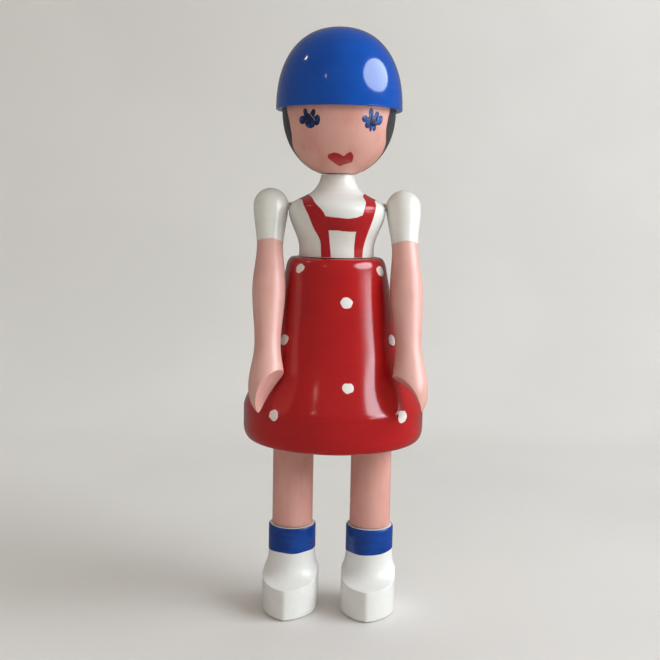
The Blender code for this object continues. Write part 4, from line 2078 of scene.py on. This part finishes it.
        shoe = Bench.skin(f"carved_{self.side.label}_shoe", count, rows, spot, capped=True)
        Bench.carve(shoe, Bench.turn("shoe_cove", self.cove(), 180), "INTERSECT")
        depth = self.tenon[1] + CUT_MARGIN
        bore = posed((0.0, 0.0, top - 0.5 * depth))
        Bench.carve(shoe, Bench.cylinder(self.socket, depth, bore, 64))
        Bench.sand(shoe, self.voxel, 3)
        Bench.ease(shoe, 14, heelward)
        Bench.settle(shoe, self.shoe_frame)
        return shoe

    def build_sock(self, shoe: Piece) -> Piece:
        """Paint the sock round the ankle and over its top edge; its lower edge strays.

        Args:
            shoe: What it is painted on.

        Returns:
            The sock.
        """
        frame = self.shoe_frame
        stray = wobble(self.seed, self.sock_stray)
        base = self.ankle_base + self.sock_rise
        edge = self.shoe_height - self.ankle_chamfer
        wall = self.sock_wall

        def spot(across: float, along: float) -> Vector:
            """Place round and up the sock."""
            low = base + self.sock_lean * math.sin(TAU * across) + stray(across)
            over = max(along - wall, 0.0) / (1.0 - wall) * self.ankle_chamfer
            height = low + (edge - low) * min(along / wall, 1.0) + over
            return frame @ on_turning(360.0 * across, self.ankle_radius - over, height)

        sock = Bench.skin(f"painted_{self.side.label}_sock", 120, 50, spot)
        Bench.film(sock, self.sock_film, shoe)
        return sock

    def build(self) -> None:
        """Make, paint and hand over the leg, its shoe and its sock."""
        label = self.side.label
        body = f"{label}_leg"
        leg = self.build_leg()
        shoe = self.build_shoe()
        sock = self.build_sock(shoe)
        hand_over(leg, LEG_FLESH.material(self.lie), body, Slot.FLESH, f"{label}_leg")
        hand_over(shoe, SHOE_WHITE.material(), body, Slot.IVORY, f"{label}_shoe")
        hand_over(sock, SOCK_BLUE.material(), body, Slot.BLUE)


@dataclass
class Joinery:
    """CAD nodes that keep their shape and get a finish."""

    nodes: dict[str, Piece]
    wooden: tuple[str, ...] = ("neck_dowel", "waist_dowel", "hip_block")
    plugs: tuple[str, ...] = ("right_shoulder_plug", "left_shoulder_plug")
    pin: str = "hip_pin"

    def build(self) -> None:
        """Dress the dowels, the hip block, the plugs and the pin."""
        finishes = dict.fromkeys(self.wooden, (BEECH.material(), Slot.BEECH))
        finishes |= dict.fromkeys(self.plugs, (SLEEVE_WHITE.material(), Slot.IVORY))
        finishes[self.pin] = (PinSteel().material(), Slot.STEEL)
        for name, (coat, slot) in finishes.items():
            node = self.nodes[name]
            node.data.materials.clear()
            node.data.materials.append(coat)
            LOG.info("%s: CAD node with %s", name, coat.name)


@dataclass(frozen=True)
class Lamp:
    """One soft lamp that faces the figure.

    Power is in watts and lengths are metres; toward points from the figure to
    the lamp, and mirrored says whether shiny paint shows it.
    """

    name: str
    power: float
    size: Pair
    toward: Triple
    away: float
    colour: Triple
    shape: str = "RECTANGLE"
    mirrored: bool = True

    def hang(self, middle: Triple) -> None:
        """Put the lamp in the scene, turned to the figure's middle.

        Args:
            middle: What it faces, in metres.
        """
        data = bpy.data.lights.new(self.name, "AREA")
        data.shape = self.shape
        data.size, data.size_y = self.size
        data.energy = self.power
        data.color = self.colour
        lamp = bpy.data.objects.new(self.name, data)
        bpy.context.scene.collection.objects.link(lamp)
        direction = Vector(self.toward).normalized()
        lamp.location = Vector(middle) + direction * self.away
        lamp.rotation_euler = direction.to_track_quat("Z", "Y").to_euler()
        lamp.visible_glossy = self.mirrored


DAY = (0.84, 0.925, 1.0)
LAMPS = (
    Lamp("window", 13.5, (1.17, 0.63), (0.828, -0.191, 0.526), 1.2, DAY, "ELLIPSE"),
    Lamp("card", 0.16, (0.24, 0.045), (0.914, -0.363, 0.187), 0.278, DAY, "ELLIPSE"),
    Lamp("fill", 16.0, (2.2, 2.2), (0.15, -0.76, 0.63), 1.8, (0.98, 0.985, 1.0), mirrored=False),
    Lamp("bulb", 0.07, (0.05, 0.07), (-0.394, -0.752, 0.525), 1.1, (1.0, 0.86, 0.7)),
    Lamp("bulb_far", 0.2, (0.05, 0.07), (-0.711, -0.014, 0.703), 1.1, (1.0, 0.93, 0.8)),
)


@dataclass
class Studio:
    """Pale floor and backdrop, soft light and the camera."""

    camera_at: Triple = (-1.74, -355.0, 147.7)
    camera_pitch: float = 7.1
    camera_roll: float = 1.12
    lens: float = 53.73
    sensor: float = 36.0
    nearest: float = 0.01
    floor: Colour = srgb(228, 223, 217)
    floor_cloud: Triple = (160.0, 160.0, 160.0)
    floor_shade: float = 0.96
    floor_roughness: float = 0.7
    floor_half: float = 1.6
    wall_at: float = 0.55
    wall_height: float = 1.5
    corner: float = 0.3
    lit_middle: Triple = (0.0, 0.0, 0.11)
    world: Colour = (1.0, 0.93, 0.86, 1.0)
    world_strength: float = 0.18

    @staticmethod
    def pick(piece: Piece, wanted: Callable[[Vector], bool]) -> None:
        """Enter a mesh with some of its vertices, and the edges between them, selected.

        Args:
            piece: The mesh.
            wanted: Whether a place in metres is picked.
        """
        bpy.ops.object.mode_set(mode="OBJECT")
        for vertex in piece.data.vertices:
            vertex.select = wanted(vertex.co)
        for edge in piece.data.edges:
            edge.select = all(piece.data.vertices[i].select for i in edge.vertices)
        bpy.ops.object.mode_set(mode="EDIT")

    def build_floor(self) -> None:
        """Lay the floor, with a backdrop that rises from it in a curve."""
        Bench.clear()
        bpy.ops.mesh.primitive_plane_add(size=2.0 * self.floor_half)
        floor = Bench.open("studio_floor")
        bpy.ops.object.mode_set(mode="OBJECT")
        for vertex in floor.data.vertices:
            vertex.co.y = min(vertex.co.y, self.wall_at)
        self.pick(floor, lambda place: place.y > 0.0)
        rise = {"value": (0.0, 0.0, self.wall_height)}
        bpy.ops.mesh.extrude_region_move(TRANSFORM_OT_translate=rise)
        self.pick(floor, lambda place: abs(place.y - self.wall_at) < MM and abs(place.z) < MM)
        bpy.ops.mesh.bevel(offset=self.corner, segments=24, affect="EDGES")
        Bench.clear()
        Bench.take(floor)
        bpy.ops.object.shade_smooth()
        recipe = Recipe("studio_floor_paint")
        cloud = recipe.noise(self.floor_cloud, 2.0)
        shade = tuple(self.floor_shade * c for c in self.floor[:3]) + (1.0,)
        colour = recipe.tint(self.floor, shade, cloud.between(0.35, 0.65))
        floor.data.materials.append(recipe.pour(colour, self.floor_roughness))
        floor.visible_glossy = False

    def build_lights(self) -> None:
        """Light the figure from a window on its left, with a soft fill from the front."""
        for lamp in LAMPS:
            lamp.hang(self.lit_middle)
        world = bpy.data.worlds.new("studio_world")
        world.use_nodes = True
        ground = world.node_tree.nodes["Background"]
        ground.inputs["Color"].default_value = self.world
        ground.inputs["Strength"].default_value = self.world_strength
        bpy.context.scene.world = world
        bpy.context.scene.view_settings.view_transform = "Standard"

    def build_camera(self) -> None:
        """Stand the camera where the photograph was taken from."""
        data = bpy.data.cameras.new("camera")
        data.sensor_width = self.sensor
        data.lens = self.lens
        data.clip_start = self.nearest
        camera = bpy.data.objects.new("camera", data)
        bpy.context.scene.collection.objects.link(camera)
        camera.matrix_world = posed(
            Vector(self.camera_at) * MM, (90.0 - self.camera_pitch, "X"), (self.camera_roll, "Z")
        )
        bpy.context.scene.camera = camera

    def build(self) -> None:
        """Set the stage."""
        self.build_camera()
        self.build_floor()
        self.build_lights()


def main() -> None:
    """Build the figure's sub-assemblies in order, then the studio."""
    logging.basicConfig(level=logging.INFO, format="%(name)s %(message)s")
    for obj in list(bpy.data.objects):
        bpy.data.objects.remove(obj)
    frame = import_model()
    assemblies = (
        Studio(),
        HeadAndCap(),
        Bodice(),
        Skirt(),
        Arm(Side.RIGHT, tilt=23.5, splay=-0.7, palm=(17.0, 14.2, 13.0), seed=41),
        Arm(Side.LEFT, tilt=22.4, splay=1.8, palm=(15.5, 11.7, -8.0), seed=43),
        Leg(Side.RIGHT, toe_turn=-7.0, seed=51),
        Leg(Side.LEFT, toe_turn=-4.5, seed=53),
        Joinery(frame["nodes"]),
    )
    for assembly in assemblies:
        assembly.build()
        LOG.info("%s done", type(assembly).__name__)
    Bench.clear()


if __name__ == "__main__":
    main()
